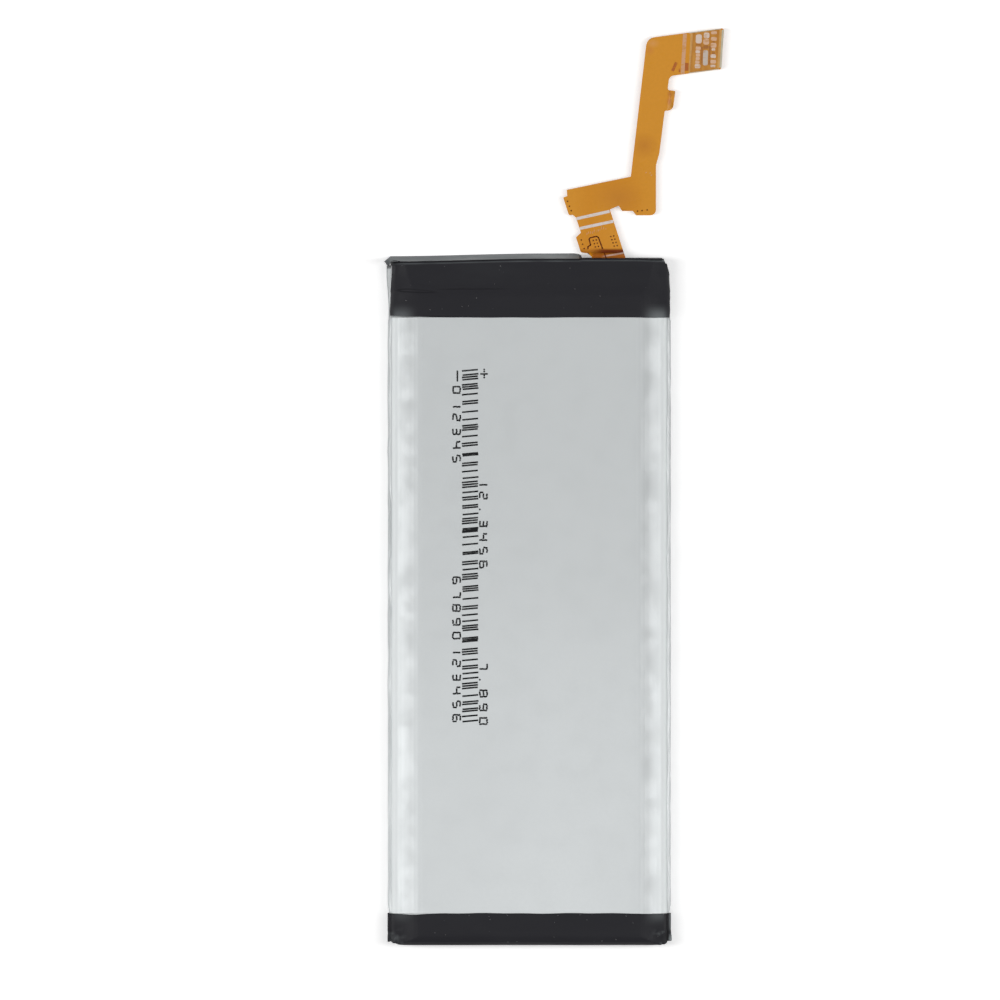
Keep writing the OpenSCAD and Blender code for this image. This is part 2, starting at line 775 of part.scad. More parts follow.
pouch_cell();
positive_tab();
negative_tab();
positive_tab_film();
negative_tab_film();
terrace_insulator();
protection_board();
positive_weld_plate();
negative_weld_plate();
thermal_fuse();
mosfet_pair();
protection_ic();
sense_resistor();
thermistor();
chip_capacitors();
chip_resistors();
board_spacer();
flex_circuit();
flex_stiffener();
connector_housing();
signal_contacts();
power_contacts();
top_tape();
bottom_tape();
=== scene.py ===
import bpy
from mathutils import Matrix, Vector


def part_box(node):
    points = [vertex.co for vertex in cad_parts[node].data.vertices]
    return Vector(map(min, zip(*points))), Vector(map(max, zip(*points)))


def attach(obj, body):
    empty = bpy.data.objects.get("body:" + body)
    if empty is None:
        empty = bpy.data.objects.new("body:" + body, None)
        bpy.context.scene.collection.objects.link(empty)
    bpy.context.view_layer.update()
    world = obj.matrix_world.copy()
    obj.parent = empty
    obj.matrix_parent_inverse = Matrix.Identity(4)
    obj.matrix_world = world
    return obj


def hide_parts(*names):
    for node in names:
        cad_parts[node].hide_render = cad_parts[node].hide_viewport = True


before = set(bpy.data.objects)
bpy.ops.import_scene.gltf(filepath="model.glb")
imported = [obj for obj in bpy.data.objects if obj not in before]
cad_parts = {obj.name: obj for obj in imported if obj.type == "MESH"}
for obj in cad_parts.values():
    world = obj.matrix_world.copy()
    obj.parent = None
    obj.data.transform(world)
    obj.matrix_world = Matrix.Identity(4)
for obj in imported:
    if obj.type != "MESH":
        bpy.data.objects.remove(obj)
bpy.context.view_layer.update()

from math import atan2, cos, exp, pi, radians, sin
from random import Random

import bmesh
import bpy
from bpy.props import FloatProperty, FloatVectorProperty, PointerProperty
from mathutils import Matrix, Vector, noise

bl_info = {
    "name": "Phone battery looks",
    "version": (1, 0, 0),
    "blender": (4, 5, 0),
    "location": "3D View > Sidebar > Battery",
    "description": "Builds the finished surfaces of a phone battery around its CAD frame",
    "category": "Object",
}

MM = 0.001
JOINED = 1e-6
FLAT_ANGLE = radians(0.02)
SOFT_ANGLE = radians(38)

# The frame's own sizes, in millimetres
POUCH_LOW, POUCH_HIGH = [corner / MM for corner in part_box("pouch_cell")]
TOP_LOW, TOP_HIGH = [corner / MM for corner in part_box("top_tape")]
BOTTOM_LOW, BOTTOM_HIGH = [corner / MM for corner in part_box("bottom_tape")]
LEVEL_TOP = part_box("flex_stiffener")[0].z / MM
PLATE_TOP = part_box("flex_stiffener")[1].z / MM
FACE_Z = POUCH_HIGH.z
TAPE_Z = TOP_HIGH.z
CUP_HALF = POUCH_HIGH.x - 0.4


def srgb(red, green, blue):
    """A colour given in the 0 to 255 of a screen, as Blender's linear values."""
    def linear(level):
        level /= 255
        return level / 12.92 if level <= 0.04045 else ((level + 0.055) / 1.055) ** 2.4
    return linear(red), linear(green), linear(blue)


def colour(name, description, *levels):
    return FloatVectorProperty(name=name, description=description, subtype="COLOR",
                               size=3, min=0, max=1, default=srgb(*levels))


def millimetres(name, description, value):
    """A length given in millimetres and kept in metres, as Blender keeps its lengths."""
    return FloatProperty(name=name, description=description, default=value * MM, min=0,
                         max=10 * MM, precision=3, subtype="DISTANCE", unit="LENGTH")


class BatterySizes(bpy.types.PropertyGroup):
    """Sizes of the finer forms."""

    ripple: millimetres("Pouch ripple", "How far the laminate dips between its high places", 0.03)
    seal_wave: millimetres("Seal wave", "How far the folded side seals wander", 0.14)
    tape_ripple: millimetres("Tape ripple", "How far the tape dips between its high places", 0.035)
    edge_wave: millimetres("Tape edge wave", "How far the cut edges of the tape wander", 0.1)
    crease_and_glint: millimetres("Crease depth", "Depth of the fold across the upper tape", 0.13)
    pucker: millimetres("Corner pucker", "Height of the gathers at the lower corners", 0.16)
    bar_length: millimetres("Bar length", "Length of each printed bar", 2.2)
    bar_unit: millimetres("Bar unit", "Width of the thinnest printed bar", 0.23)
    dot: millimetres("Dot", "Diameter of a printed dot", 0.27)
    white_line: millimetres("White line", "Width of the white lines across the circuit", 0.4)
    via: millimetres("Via", "Diameter of a plated hole", 0.22)


class BatteryColours(bpy.types.PropertyGroup):
    """Colours of the finishes."""

    laminate: colour("Laminate", "Silver-grey outer film of the pouch", 203, 207, 208)
    tape: colour("Tape", "Black polyester tape", 35, 35, 39)
    tape_wear: colour("Tape wear", "Rubbed places on the tape", 44, 45, 48)
    amber: colour("Film", "Amber cover film of the circuit", 222, 152, 51)
    amber_dark: colour("Film, darker", "Amber film over copper", 215, 142, 42)
    # Painted shade on the film where it bends down over the edge
    bend_shade: colour("Bend", "Film where it bends over the edge", 116, 46, 4)
    white_ink: colour("White ink", "Lines printed on the circuit", 226, 218, 214)
    copper: colour("Copper", "Trace that shows through the film", 92, 34, 12)
    solder: colour("Solder", "Solder marks of the plug", 224, 184, 152)
    print_ink: colour("Print", "Dark ink on the pouch", 15, 16, 18)
    floor: colour("Floor", "The pale floor", 246, 246, 246)


def size(name):
    """One of the finer sizes, in millimetres."""
    return getattr(bpy.context.scene.battery_sizes, name) / MM


def colours():
    return bpy.context.scene.battery_colours


class Finish:
    """A material built from nodes, with one short call for each kind of node."""

    def __init__(self, name, base, roughness, metallic=0.0, **sockets):
        self.material = bpy.data.materials.new(name)
        self.material.use_nodes = True
        self.tree = self.material.node_tree
        self.shader = self.tree.nodes["Principled BSDF"]
        self.place = self.node("ShaderNodeTexCoord").outputs["Object"]
        self.put("Base Color", (*base, 1.0))
        self.put("Roughness", roughness)
        self.put("Metallic", metallic)
        for socket, value in sockets.items():
            self.put(socket.replace("_", " ").title().replace("Ior", "IOR"), value)

    def put(self, socket, value):
        """Sets a socket of the shader, or links a node to it."""
        self.feed(self.shader.inputs[socket], value)

    def feed(self, socket, value):
        if isinstance(value, bpy.types.NodeSocket):
            self.tree.links.new(value, socket)
        else:
            socket.default_value = value

    def node(self, kind, inputs=None, **settings):
        made = self.tree.nodes.new(kind)
        for setting, value in settings.items():
            setattr(made, setting, value)
        for socket, value in (inputs or {}).items():
            self.feed(made.inputs[socket], value)
        return made

    def along(self, axis):
        """The object coordinate along one axis, in metres."""
        return self.node("ShaderNodeSeparateXYZ", {0: self.place}).outputs["XYZ".index(axis)]

    def cloud(self, size, detail=2.0, stretch=(1, 1, 1), shift=0.0):
        """Soft noise whose patches are about this many millimetres across."""
        where = self.node("ShaderNodeMapping", {"Vector": self.place, "Scale": stretch,
                                                "Location": (shift * MM,) * 3})
        return self.node("ShaderNodeTexNoise", {"Vector": where.outputs[0],
                                                "Scale": 1 / (size * MM),
                                                "Detail": detail}).outputs["Fac"]

    def cells(self, size, feature="F1"):
        return self.node("ShaderNodeTexVoronoi", {"Vector": self.place,
                                                  "Scale": 1 / (size * MM)},
                         feature=feature).outputs["Distance"]

    def span(self, value, low, high, start=0.0, end=1.0):
        """Turns a value's run from low to high into one from start to end."""
        return self.node("ShaderNodeMapRange", {"Value": value, "From Min": low,
                                                "From Max": high, "To Min": start,
                                                "To Max": end},
                         interpolation_type="SMOOTHSTEP").outputs[0]

    def spot(self, middle, width, height, amount):
        """A soft oval patch, its place and size in millimetres, that fades from its middle."""
        where = self.node("ShaderNodeMapping", {
            "Vector": self.place, "Scale": (2 / (width * MM), 2 / (height * MM), 0),
            "Location": (-2 * middle[0] / width, -2 * middle[1] / height, 0)})
        return self.maths("MULTIPLY", amount, self.node(
            "ShaderNodeTexGradient", {0: where.outputs[0]}, gradient_type="SPHERICAL").outputs[1])

    def maths(self, operation, first, second=0.0):
        return self.node("ShaderNodeMath", {0: first, 1: second}, operation=operation).outputs[0]

    def blend(self, amount, first, second, mode="MIX"):
        def full(shade):
            return (*shade, 1.0) if isinstance(shade, (tuple, list)) else shade
        return self.node("ShaderNodeMix", {0: amount, 6: full(first), 7: full(second)},
                         data_type="RGBA", blend_type=mode).outputs[2]

    def painted(self, tone, dark, light):
        """Paints light and shade into a colour: darkens or lightens it by the piece's own tone
        attribute, from -1 to 1.
        """
        level = self.node("ShaderNodeAttribute", attribute_name="tone").outputs["Fac"]
        tone = self.blend(level, tone, light)
        return self.blend(self.maths("MULTIPLY", level, -1), tone, dark)

    def relief(self, height, depth, under=None):
        """Bump of this depth in millimetres, over any bump already made."""
        inputs = {"Height": height, "Distance": depth * MM, "Strength": 1.0}
        if under is not None:
            inputs["Normal"] = under
        return self.node("ShaderNodeBump", inputs).outputs[0]


def shade(base, factor):
    return tuple(min(1.0, level * factor) for level in base)


# Finishes

def laminate_finish():
    """Brushed-looking nylon and aluminium laminate with a fine satin grain, painted shade towards its
    upper end, and painted light and shade from its tone attribute.
    """
    base = tuple(colours().laminate)
    made = Finish("satin_laminate", base, 0.4, metallic=0.25, ior=1.5)
    broad = made.cloud(22, 2)
    tone = made.blend(made.span(broad, 0.3, 0.7), shade(base, 0.975), shade(base, 1.015))
    fine = made.cloud(0.5, 3)
    tone = made.blend(made.span(fine, 0.2, 0.8, 0, 0.25), tone, shade(base, 0.93))
    # Painted shade: the face darkens towards its upper end, as if lit more from below
    shade_towards_top = made.span(made.along("Y"), -0.045, 0.03, 0, 0.9)
    tone = made.blend(shade_towards_top, tone, shade(base, 0.8))
    # Painted light and shade from the pouch's tone attribute
    made.put("Base Color", made.painted(tone, shade(base, 0.1), shade(base, 1.6)))
    made.put("Roughness", made.span(made.cloud(3, 3, shift=7), 0.3, 0.7, 0.38, 0.48))
    grain = made.relief(made.cloud(0.25, 2), 0.004)
    made.put("Normal", made.relief(made.cloud(5, 2, (1, 0.4, 1)), 0.012, grain))
    return made.material


def tape_finish():
    """Black polyester tape, satin, with rubbed places, fine drag marks, and painted light and shade
    from its tone attribute.
    """
    base = tuple(colours().tape)
    made = Finish("black_tape", base, 0.5, specular_ior_level=0.1)
    rubbed = made.span(made.cloud(4.5, 4, (0.35, 1, 1)), 0.5, 0.78, 0, 0.35)
    tone = made.blend(rubbed, base, tuple(colours().tape_wear))
    specks = made.span(made.cells(1.3), 0.05, 0.02, 0, 0.5)
    tone = made.blend(specks, tone, srgb(96, 96, 98))
    # Painted light and shade from the tape's tone attribute, up to a pale painted reflection
    made.put("Base Color", made.painted(tone, shade(base, 0.1), srgb(150, 156, 158)))
    made.put("Roughness", made.span(made.cloud(2.5, 3, (0.4, 1, 1)), 0.3, 0.7, 0.42, 0.58))
    drag = made.relief(made.cloud(0.35, 2, (0.15, 1, 1)), 0.004)
    made.put("Normal", made.relief(made.cloud(2.2, 2, (0.25, 1, 0.5)), 0.025, drag))
    return made.material


# Soft darker and lighter patches of the film: place, width and height, how strong, and colour
FILM_PATCHES = (((12.3, 55.6), 7.5, 5.0, 0.5, (192, 124, 50)),
               ((15.9, 62.8), 4.0, 4.0, 0.6, (192, 120, 44)),
               ((17.1, 76.9), 2.0, 1.4, 0.9, (224, 160, 90)),
               ((16.7, 75.9), 1.5, 1.5, 0.6, (212, 134, 66)),
               ((19.45, 69.9), 0.9, 1.1, 0.7, (186, 104, 54)),
               ((19.35, 68.9), 0.9, 1.4, 0.8, (192, 112, 60)))


def film_finish():
    """Amber polyimide over copper: darker along the copper, with painted brown shade and painted
    highlights where it bends.
    """
    chosen = colours()
    base, dark = tuple(chosen.amber), tuple(chosen.amber_dark)
    made = Finish("amber_film", base, 0.34, specular_ior_level=0.12, coat_weight=0.04,
                  coat_roughness=0.15)
    copper = made.span(made.cloud(7, 1, (1, 0.35, 1)), 0.35, 0.7)
    tone = made.blend(copper, base, dark)
    grain = made.span(made.cloud(0.4, 3), 0.3, 0.7, 0, 0.12)
    tone = made.blend(grain, tone, shade(dark, 0.8))
    for middle, wide, tall, amount, patch in FILM_PATCHES:
        tone = made.blend(made.spot(middle, wide, tall, amount), tone, srgb(*patch))
    x, y = made.along("X"), made.along("Y")
    # Painted shade: brown across the bend where it steps down from the bay
    bend = made.maths("MULTIPLY", made.span(y, 47.7 * MM, 48.0 * MM),
                      made.span(y, 48.7 * MM, 48.25 * MM))
    bend = made.maths("MULTIPLY", bend, made.span(x, 8.2 * MM, 10.4 * MM, 0.25, 1))
    tone = made.blend(bend, tone, tuple(chosen.bend_shade))
    # Painted shade: darker at the bend's root, under the tape's edge
    root = made.span(y, 47.95 * MM, 47.7 * MM, 0, 0.75)
    tone = made.blend(root, tone, srgb(170, 84, 22))
    # Painted highlight at the bend's left end
    lit = made.maths("MULTIPLY", made.span(x, 8.9 * MM, 8.4 * MM), made.span(y, 48.1 * MM, 47.8 * MM))
    tone = made.blend(lit, tone, srgb(238, 160, 22))
    # Painted highlight: a pale slanting line along the crease of the bend
    slant = made.maths("SUBTRACT", y, made.maths("MULTIPLY", x, 0.17))
    near = made.maths("ABSOLUTE", made.maths("SUBTRACT", slant, 45.72 * MM))
    crease_and_glint = made.maths("MULTIPLY", made.span(near, 0.17 * MM, 0.04 * MM, 0, 0.85),
                        made.span(x, 9.8 * MM, 11.2 * MM))
    tone = made.blend(crease_and_glint, tone, srgb(226, 200, 188))
    leg = made.maths("ADD", x, made.maths("MULTIPLY", y, 0.3))
    for place in (24.77, 22.53):
        near = made.maths("ABSOLUTE", made.maths("SUBTRACT", leg, place * MM))
        track = made.maths("MULTIPLY", made.span(near, 0.11 * MM, 0.05 * MM),
                           made.span(y, 47.98 * MM, 47.9 * MM))
        tone = made.blend(track, tone, tuple(chosen.copper))
    made.put("Base Color", tone)
    made.put("Roughness", made.span(made.cloud(1.6, 2), 0.3, 0.7, 0.26, 0.36))
    made.put("Normal", made.relief(made.cloud(2.6, 2, (1, 0.6, 1)), 0.02,
                                   made.relief(made.cloud(0.3, 2), 0.002)))
    return made.material


def plate_finish():
    """The stiffening plate, amber with a dull pressed face."""
    base = srgb(206, 146, 66)
    made = Finish("stiffener_film", base, 0.36, specular_ior_level=0.15)
    weave = made.cloud(0.6, 2, (1, 0.3, 1))
    made.put("Base Color", made.blend(made.span(weave, 0.3, 0.7), base, srgb(190, 126, 52)))
    made.put("Normal", made.relief(weave, 0.004))
    return made.material


def ink_finish(name, base, under, patchy=0.6, roughness=0.5):
    """Printed ink that lets a little of what is under it through."""
    made = Finish(name, base, roughness, specular_ior_level=0.1)
    worn = made.span(made.cloud(0.3, 3, (0.4, 1, 1)), 0.52, 0.66, 0, patchy)
    made.put("Base Color", made.blend(worn, base, under))
    made.put("Normal", made.relief(made.cloud(0.15, 2), 0.003))
    return made.material


def metal_finish(name, base, roughness, grain=0.3, stretch=(1, 1, 1)):
    """Plated or rolled metal with a fine grain and a few dull places."""
    made = Finish(name, base, roughness, metallic=1.0)
    patch = made.span(made.cloud(grain * 4, 2), 0.45, 0.75, 0, 0.3)
    made.put("Base Color", made.blend(patch, base, shade(base, 0.72)))
    made.put("Roughness", made.span(made.cloud(grain, 2, stretch), 0.3, 0.7,
                                    roughness * 0.8, min(1, roughness * 1.3)))
    made.put("Normal", made.relief(made.cloud(grain * 0.5, 2, stretch), 0.004))
    return made.material


def moulded_finish(name, base, roughness=0.45, grain=0.12, spread=1.18):
    """Moulded resin, ceramic or laminate, with a fine pitted grain."""
    made = Finish(name, base, roughness)
    fleck = made.span(made.cloud(grain, 3), 0.4, 0.75)
    made.put("Base Color", made.blend(fleck, shade(base, 0.92), shade(base, spread)))
    made.put("Roughness", made.span(made.cloud(grain * 5, 2), 0.3, 0.7,
                                    roughness * 0.88, min(1, roughness * 1.15)))
    made.put("Normal", made.relief(made.cloud(grain, 2), 0.006))
    return made.material


def board_finish():
    """Green solder mask with the weave of the glass under it and faint copper tracks."""
    base = srgb(28, 74, 48)
    made = Finish("solder_mask", base, 0.3, ior=1.55, coat_weight=0.2, coat_roughness=0.2)
    weave = made.maths("MULTIPLY",
                       made.maths("SINE", made.maths("MULTIPLY", made.along("X"), 9000)),
                       made.maths("SINE", made.maths("MULTIPLY", made.along("Y"), 9000)))
    tracks = made.span(made.cells(2.2, "DISTANCE_TO_EDGE"), 0.03, 0.09)
    tone = made.blend(tracks, shade(base, 1.9), base)
    made.put("Base Color", made.blend(made.span(weave, 0.2, 0.9, 0, 0.2), tone, shade(base, 0.7)))
    made.put("Normal", made.relief(tracks, 0.01, made.relief(weave, 0.003)))
    return made.material


def foam_finish():
    """Charcoal foam with open cells."""
    base = srgb(52, 52, 55)
    made = Finish("charcoal_foam", base, 0.9, sheen_weight=0.1)
    cells = made.cells(0.22)
    made.put("Base Color", made.blend(made.span(cells, 0.1, 0.5), shade(base, 0.45), base))
    made.put("Normal", made.relief(cells, 0.05))
    return made.material


def clear_finish(name, base, roughness):
    """Thin milky film round a tab or over the seal."""
    made = Finish(name, base, roughness, ior=1.5)
    haze = made.span(made.cloud(0.8, 3), 0.35, 0.7)
    made.put("Base Color", made.blend(haze, base, shade(base, 0.86)))
    made.put("Normal", made.relief(made.cloud(0.4, 2), 0.005))
    return made.material


# Shapes

def copied_shape(node):
    """A CAD node's faces in a new bmesh, its loose triangles joined and its flats merged."""
    shape = bmesh.new()
    shape.from_mesh(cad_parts[node].data)
    bmesh.ops.remove_doubles(shape, verts=shape.verts, dist=JOINED)
    bmesh.ops.dissolve_limit(shape, angle_limit=FLAT_ANGLE, verts=shape.verts,
                             edges=shape.edges)
    return shape


def slice_shape(shape, axis, places):
    """Cuts the faces across one axis at each place, in millimetres, so that they can ripple."""
    normal = Vector([float(name == axis) for name in "XYZ"])
    for place in places:
        everything = shape.verts[:] + shape.edges[:] + shape.faces[:]
        bmesh.ops.bisect_plane(shape, geom=everything, dist=JOINED / 10,
                               plane_co=normal * place * MM, plane_no=normal)


def steps(start, end, step):
    count = max(1, round((end - start) / step))
    return [start + (end - start) * i / count for i in range(count + 1)]


def wander(x, y, size, layer=0.0):
    """Smooth noise from -1 to 1 whose swells are about this many millimetres across."""
    return noise.noise(Vector((x / size, y / size, layer)))


def bell(value, middle, width):
    return exp(-((value - middle) / width) ** 2)


def ramp(value, low, high):
    t = max(0.0, min(1.0, (value - low) / (high - low)))
    return t * t * (3 - 2 * t)


def move_points(shape, rule, tone):
    """Moves each point by what the rule gives for its place and normal, in millimetres.

    The tone rule gives the painted light and shade: how much lighter or darker the finish is at that
    place.
    """
    shape.normal_update()
    layer = shape.verts.layers.float.new("tone")
    moves = [(point, rule(point.co / MM, point.normal)) for point in shape.verts]
    for point, step in moves:
        point[layer] = tone(point.co / MM, point.normal)
        point.co += Vector(step) * MM


def finish_piece(shape, name, material, replaced=(), smooth=True):
    """Turns a bmesh into a piece of the battery, in place."""
    mesh = bpy.data.meshes.new(name)
    shape.to_mesh(mesh)
    shape.free()
    if not mesh.polygons:
        raise RuntimeError(name + " has no faces")
    for face in mesh.polygons:
        face.use_smooth = smooth
    if smooth:
        mesh.set_sharp_from_angle(angle=SOFT_ANGLE)
    piece = bpy.data.objects.new(name, mesh)
    piece.data.materials.append(material)
    bpy.context.scene.collection.objects.link(piece)
    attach(piece, "root")
    if replaced:
        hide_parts(*replaced)
    return piece


def dress(node, material):
    """Gives a CAD node its finish."""
    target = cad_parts[node]
    target.data.materials.clear()
    target.data.materials.append(material)
    for face in target.data.polygons:
        face.material_index = 0


def add_plate(shape, middle, length, width, low, high, turn=0.0):
    """Adds a thin plate; its length lies along the turn, in radians."""
    place = Matrix.Translation((middle[0] * MM, middle[1] * MM, (low + high) / 2 * MM))
    size = Matrix.Diagonal((length * MM, width * MM, (high - low) * MM, 1))
    bmesh.ops.create_cube(shape, size=1, matrix=place @ Matrix.Rotation(turn, 4, "Z") @ size)


def add_disc(shape, middle, diameter, low, high, corners=14):
    place = Matrix.Translation((middle[0] * MM, middle[1] * MM, (low + high) / 2 * MM))
    radius = diameter / 2 * MM
    bmesh.ops.create_cone(shape, cap_ends=True, segments=corners, radius1=radius,
                          radius2=radius, depth=(high - low) * MM, matrix=place)


def add_line(shape, start, end, width, low, high):
    start, end = Vector(start), Vector(end)
    run = end - start
    add_plate(shape, (start + end) / 2, run.length, width, low, high, atan2(run.y, run.x))


class Strip:
    """A straight strip of the circuit: where it starts and which way it runs."""

    def __init__(self, start, turn):
        self.start = Vector(start)
        self.turn = radians(turn)

    def at(self, along, left):
        forward = Vector((cos(self.turn), sin(self.turn)))
        return self.start + along * forward + left * Vector((-forward.y, forward.x))


# The circuit's strips, as the CAD source lays them out
NECK = Strip((10.75, 47.4), 108)
ARM = Strip(NECK.at(8.6, 2.65), 11.5)
COLUMN = Strip(ARM.at(10.2, 0), 82.4)
HEAD = Strip(COLUMN.at(18.4, 0), 7.5)
HEAD_LENGTH = 8.8
HEAD_LEAN = radians(9.5)


# Pouch

# Where the folded side seals' flat top starts, inside the CAD's own edge for it
SEAL_START = 19.02


def face_dip(x, y):
    """How far the pouch's printed face dips at a place."""
    return -size("ripple") * (0.5 + 0.5 * wander(x, y, 14, 3.0))


def on_seal(place):
    return abs(place.x) > CUP_HALF + 0.15


def ripple_pouch(place, normal):
    """Soft dips in the faces; the folded seals wander, and stand off beside the upper tape."""
    if min(abs(place.y - TOP_LOW.y), abs(place.y - BOTTOM_HIGH.y)) < 0.05:
        normal = Vector((normal.x, 0, normal.z)).normalized()
    wave = 0.5 + 0.5 * wander(place.x, place.y, 14, 3.0)
    step = -normal * size("ripple") * wave
    if on_seal(place):
        side = 1 if place.x > 0 else -1
        drift = 0.6 - wander(side * 9, place.y, 2.6, place.z / 3)
        taped = ramp(place.y, TOP_LOW.y - 0.2, TOP_LOW.y + 0.1)
        tucked = ramp(-place.y, -BOTTOM_HIGH.y - 0.25, -BOTTOM_HIGH.y)
        flare = 0.2 * ramp(place.y, 40, 45.5) - 0.08 if side < 0 else -0.2
        step.x += side * (size("seal_wave") * 0.6 * drift + flare * taped - 0.22 * tucked)
        if place.z > 1:
            step.z += 0.25 * wander(side * 5, place.y, 4.0, 1.0) * (1 - taped - tucked)
            step.z -= 0.2 * (taped + tucked)
        if side > 0:
            step.x -= 0.7 * ramp(place.y, 43.8, 45.0)
    return step


def pouch_painted_light(place, normal):
    """Painted light and shade: evens out the long edges, and darkens with painted shade the seals
    where they stick out of the upper tape.
    """
    left = place.x < 0
    if place.y > TOP_LOW.y + 0.2 and abs(place.x) > CUP_HALF - 0.9:
        seal_shade = 0.42 + 0.3 * wander(place.z, place.y, 1.4, 2.0)
        return -max(seal_shade, 0.97 * ramp(place.y, 45.7, 46.1)) if left else -0.85
    x = abs(place.x)
    # Painted shade on the seals, darker towards their outer edge
    if x > SEAL_START:
        return 0.1 - 0.27 * ramp(x, 19.1, 19.3)
    # Painted light over the shadowed groove beside each long edge, and painted shade inward of its
    # highlight
    if left:
        return 0.66 * bell(x, 18.85, 0.45) + 0.23 * bell(x, 18.25, 0.6) - 0.21 * bell(x, 16.55, 0.85)
    return 0.5 * bell(x, 18.88, 0.4) + 0.35 * bell(x, 18.4, 0.62) - 0.3 * bell(x, 16.25, 0.85)


class BATTERY_OT_pouch(bpy.types.Operator):
    """Builds the laminate pouch with its crowned edges and folded side seals"""

    bl_idname = "battery.pouch"
    bl_label = "Pouch"

    def execute(self, context):
        shape = copied_shape("pouch_cell")
        slice_shape(shape, "Y", steps(POUCH_LOW.y + 0.5, POUCH_HIGH.y - 0.5, 1.2))
        slice_shape(shape, "Y", [TOP_LOW.y - 0.04, BOTTOM_HIGH.y + 0.04])
        slice_shape(shape, "X", steps(3 - CUP_HALF, CUP_HALF - 3, 2.4))
        for side in (-1, 1):
            slice_shape(shape, "X", [side * place for place in steps(14.7, 18.9, 0.3)])
        move_points(shape, ripple_pouch, pouch_painted_light)
        finish_piece(shape, "laminate_pouch", laminate_finish(), ["pouch_cell"])
        return {"FINISHED"}


# Tapes

# The fold across the upper tape is a short deep gather and a long faint line beside it. Each has
# the place of its left end, its length, how far it drops to the right, and its width and depth.
GATHER = (-18.5, 42.8, 6.0, 0.3, 0.19, 1.0)
LINE = (-12.6, 42.93, 10.5, -0.06, 0.07, 0.55)
FOLD_LOW, FOLD_HIGH = 42.2, 43.3
EDGE_Y = 46.77
SPLIT_X = 7.2


def fold(x, y):
    """How deep the fold across the upper tape is at a place, from 0 to 1."""
    depth = 0.0
    for start, top, length, drop, width, deep in (GATHER, LINE):
        share = (x - start) / length
        if 0 < share < 1:
            fade = sin(pi * share ** 0.7) ** 0.7
            middle = top - drop * share + 0.03 * wander(x, 0, 1.7, 8.0)
            depth = max(depth, deep * fade * bell(y, middle, width * (0.35 + 0.65 * fade)))
    return depth


def end_bow(place):
    """The taped end isn't straight: it bows out towards the circuit."""
    if place.y < FOLD_HIGH:
        return 0.0
    reach = ramp(place.y, FOLD_HIGH, EDGE_Y - 0.5)
    bow = -0.07 + 0.38 * ramp(place.x, -19, 2) - 0.12 * ramp(place.x, 14, 19)
    if place.x > SPLIT_X:
        return (bow + 0.08) * reach * ramp(place.z, 1.6, 3.4)
    tip = ramp(place.x, SPLIT_X - 0.8, SPLIT_X) * ramp(place.y, EDGE_Y + 0.2, TOP_HIGH.y)
    return bow * reach - 0.14 * tip


def ripple_top_tape(place, normal):
    wave = 0.5 + 0.5 * wander(place.x * 0.5, place.y, 3.2, 1.0)
    step = -normal * size("tape_ripple") * wave
    step.y += end_bow(place)
    if normal.z > 0.5:
        step.z -= size("crease_and_glint") * fold(place.x, place.y)
        step.z += 0.05 * bell(place.y, EDGE_Y - 0.3, 0.08) - 0.06 * bell(place.y, EDGE_Y, 0.08)
    if place.y < TOP_LOW.y + 0.05:
        step.y += 0.24 * (1 - ramp(place.x, -19, -11)) - 0.03
        step.y += size("edge_wave") * wander(place.x, place.z, 5, 2.0)
    if place.x < -19.2 and place.y > EDGE_Y - 0.2:
        step.y -= 0.5 * ramp(place.x, -20.0, -19.6) * (1 - ramp(place.y, EDGE_Y + 0.05, EDGE_Y + 0.2))
    if abs(place.x) > CUP_HALF - 0.8 and place.y < EDGE_Y - 0.5:
        side = 1 if place.x > 0 else -1
        spread = 0.3 - 0.08 * ramp(place.y, 42, 45)
        if side < 0:
            spread = 0.1 - 0.14 * (ramp(place.y, 39.5, 43.5) + ramp(place.y, 43.6, 45.8))
        spread += 0.08 * wander(place.y, place.z, 0.9, 4.0)
        step.x += side * spread * ramp(abs(place.x), CUP_HALF - 0.8, CUP_HALF)
    return step


def rim_reflection(place, rim, reach):
    """Painted reflection: the lighter place on each long edge next to the tape's rim, from 0 to 1."""
    across = ramp(abs(place.x), 15.4, 17.8) * (1 - ramp(abs(place.x), 18.3, 19.1))
    return across * ramp(-abs(place.y - rim), -reach, 0) ** 1.5


# Painted light and shade on the upper tape: a painted reflection beside the rim, and more below
def top_tape_painted_light(place, normal):
    tone = (0.34 if place.x < 0 else 0.5) * rim_reflection(place, TOP_LOW.y, 2.2)
    if normal.z > 0.5:
        # Painted shade in the fold and along the edge, and painted highlights along the ridge and at
        # its right corner
        tone -= 0.9 * fold(place.x, place.y)
        ridge_glint = 0.6 + 0.4 * wander(place.x, 0, 2.5, 9.0)
        tone += 0.3 * ridge_glint * bell(place.y, EDGE_Y - 0.3, 0.09)
        tone += 0.9 * bell(place.x, 18.55, 0.2) * bell(place.y, EDGE_Y - 0.1, 0.12)
        tone -= 0.9 * bell(place.y, EDGE_Y, 0.09)
    # Painted reflection: the sloping end strip is lighter
    elif normal.y > 0.5 and place.x < SPLIT_X and place.z < 3.7:
        tone += 0.55 + 0.08 * ramp(place.x, -19, -8) - 0.12 * ramp(place.x, 4.5, SPLIT_X)
        tone += 0.06 * wander(place.x, place.z, 1.5, 4.0)
    return tone


def gathers(place):
    """How strongly the lower corners are crumpled; the right one is the worse."""
    corner = ramp(abs(place.x), 16.5, 18.8) * ramp(-place.y, 44.9, 46.4)
    return corner * (0.55 if place.x > 0 else 0.3)


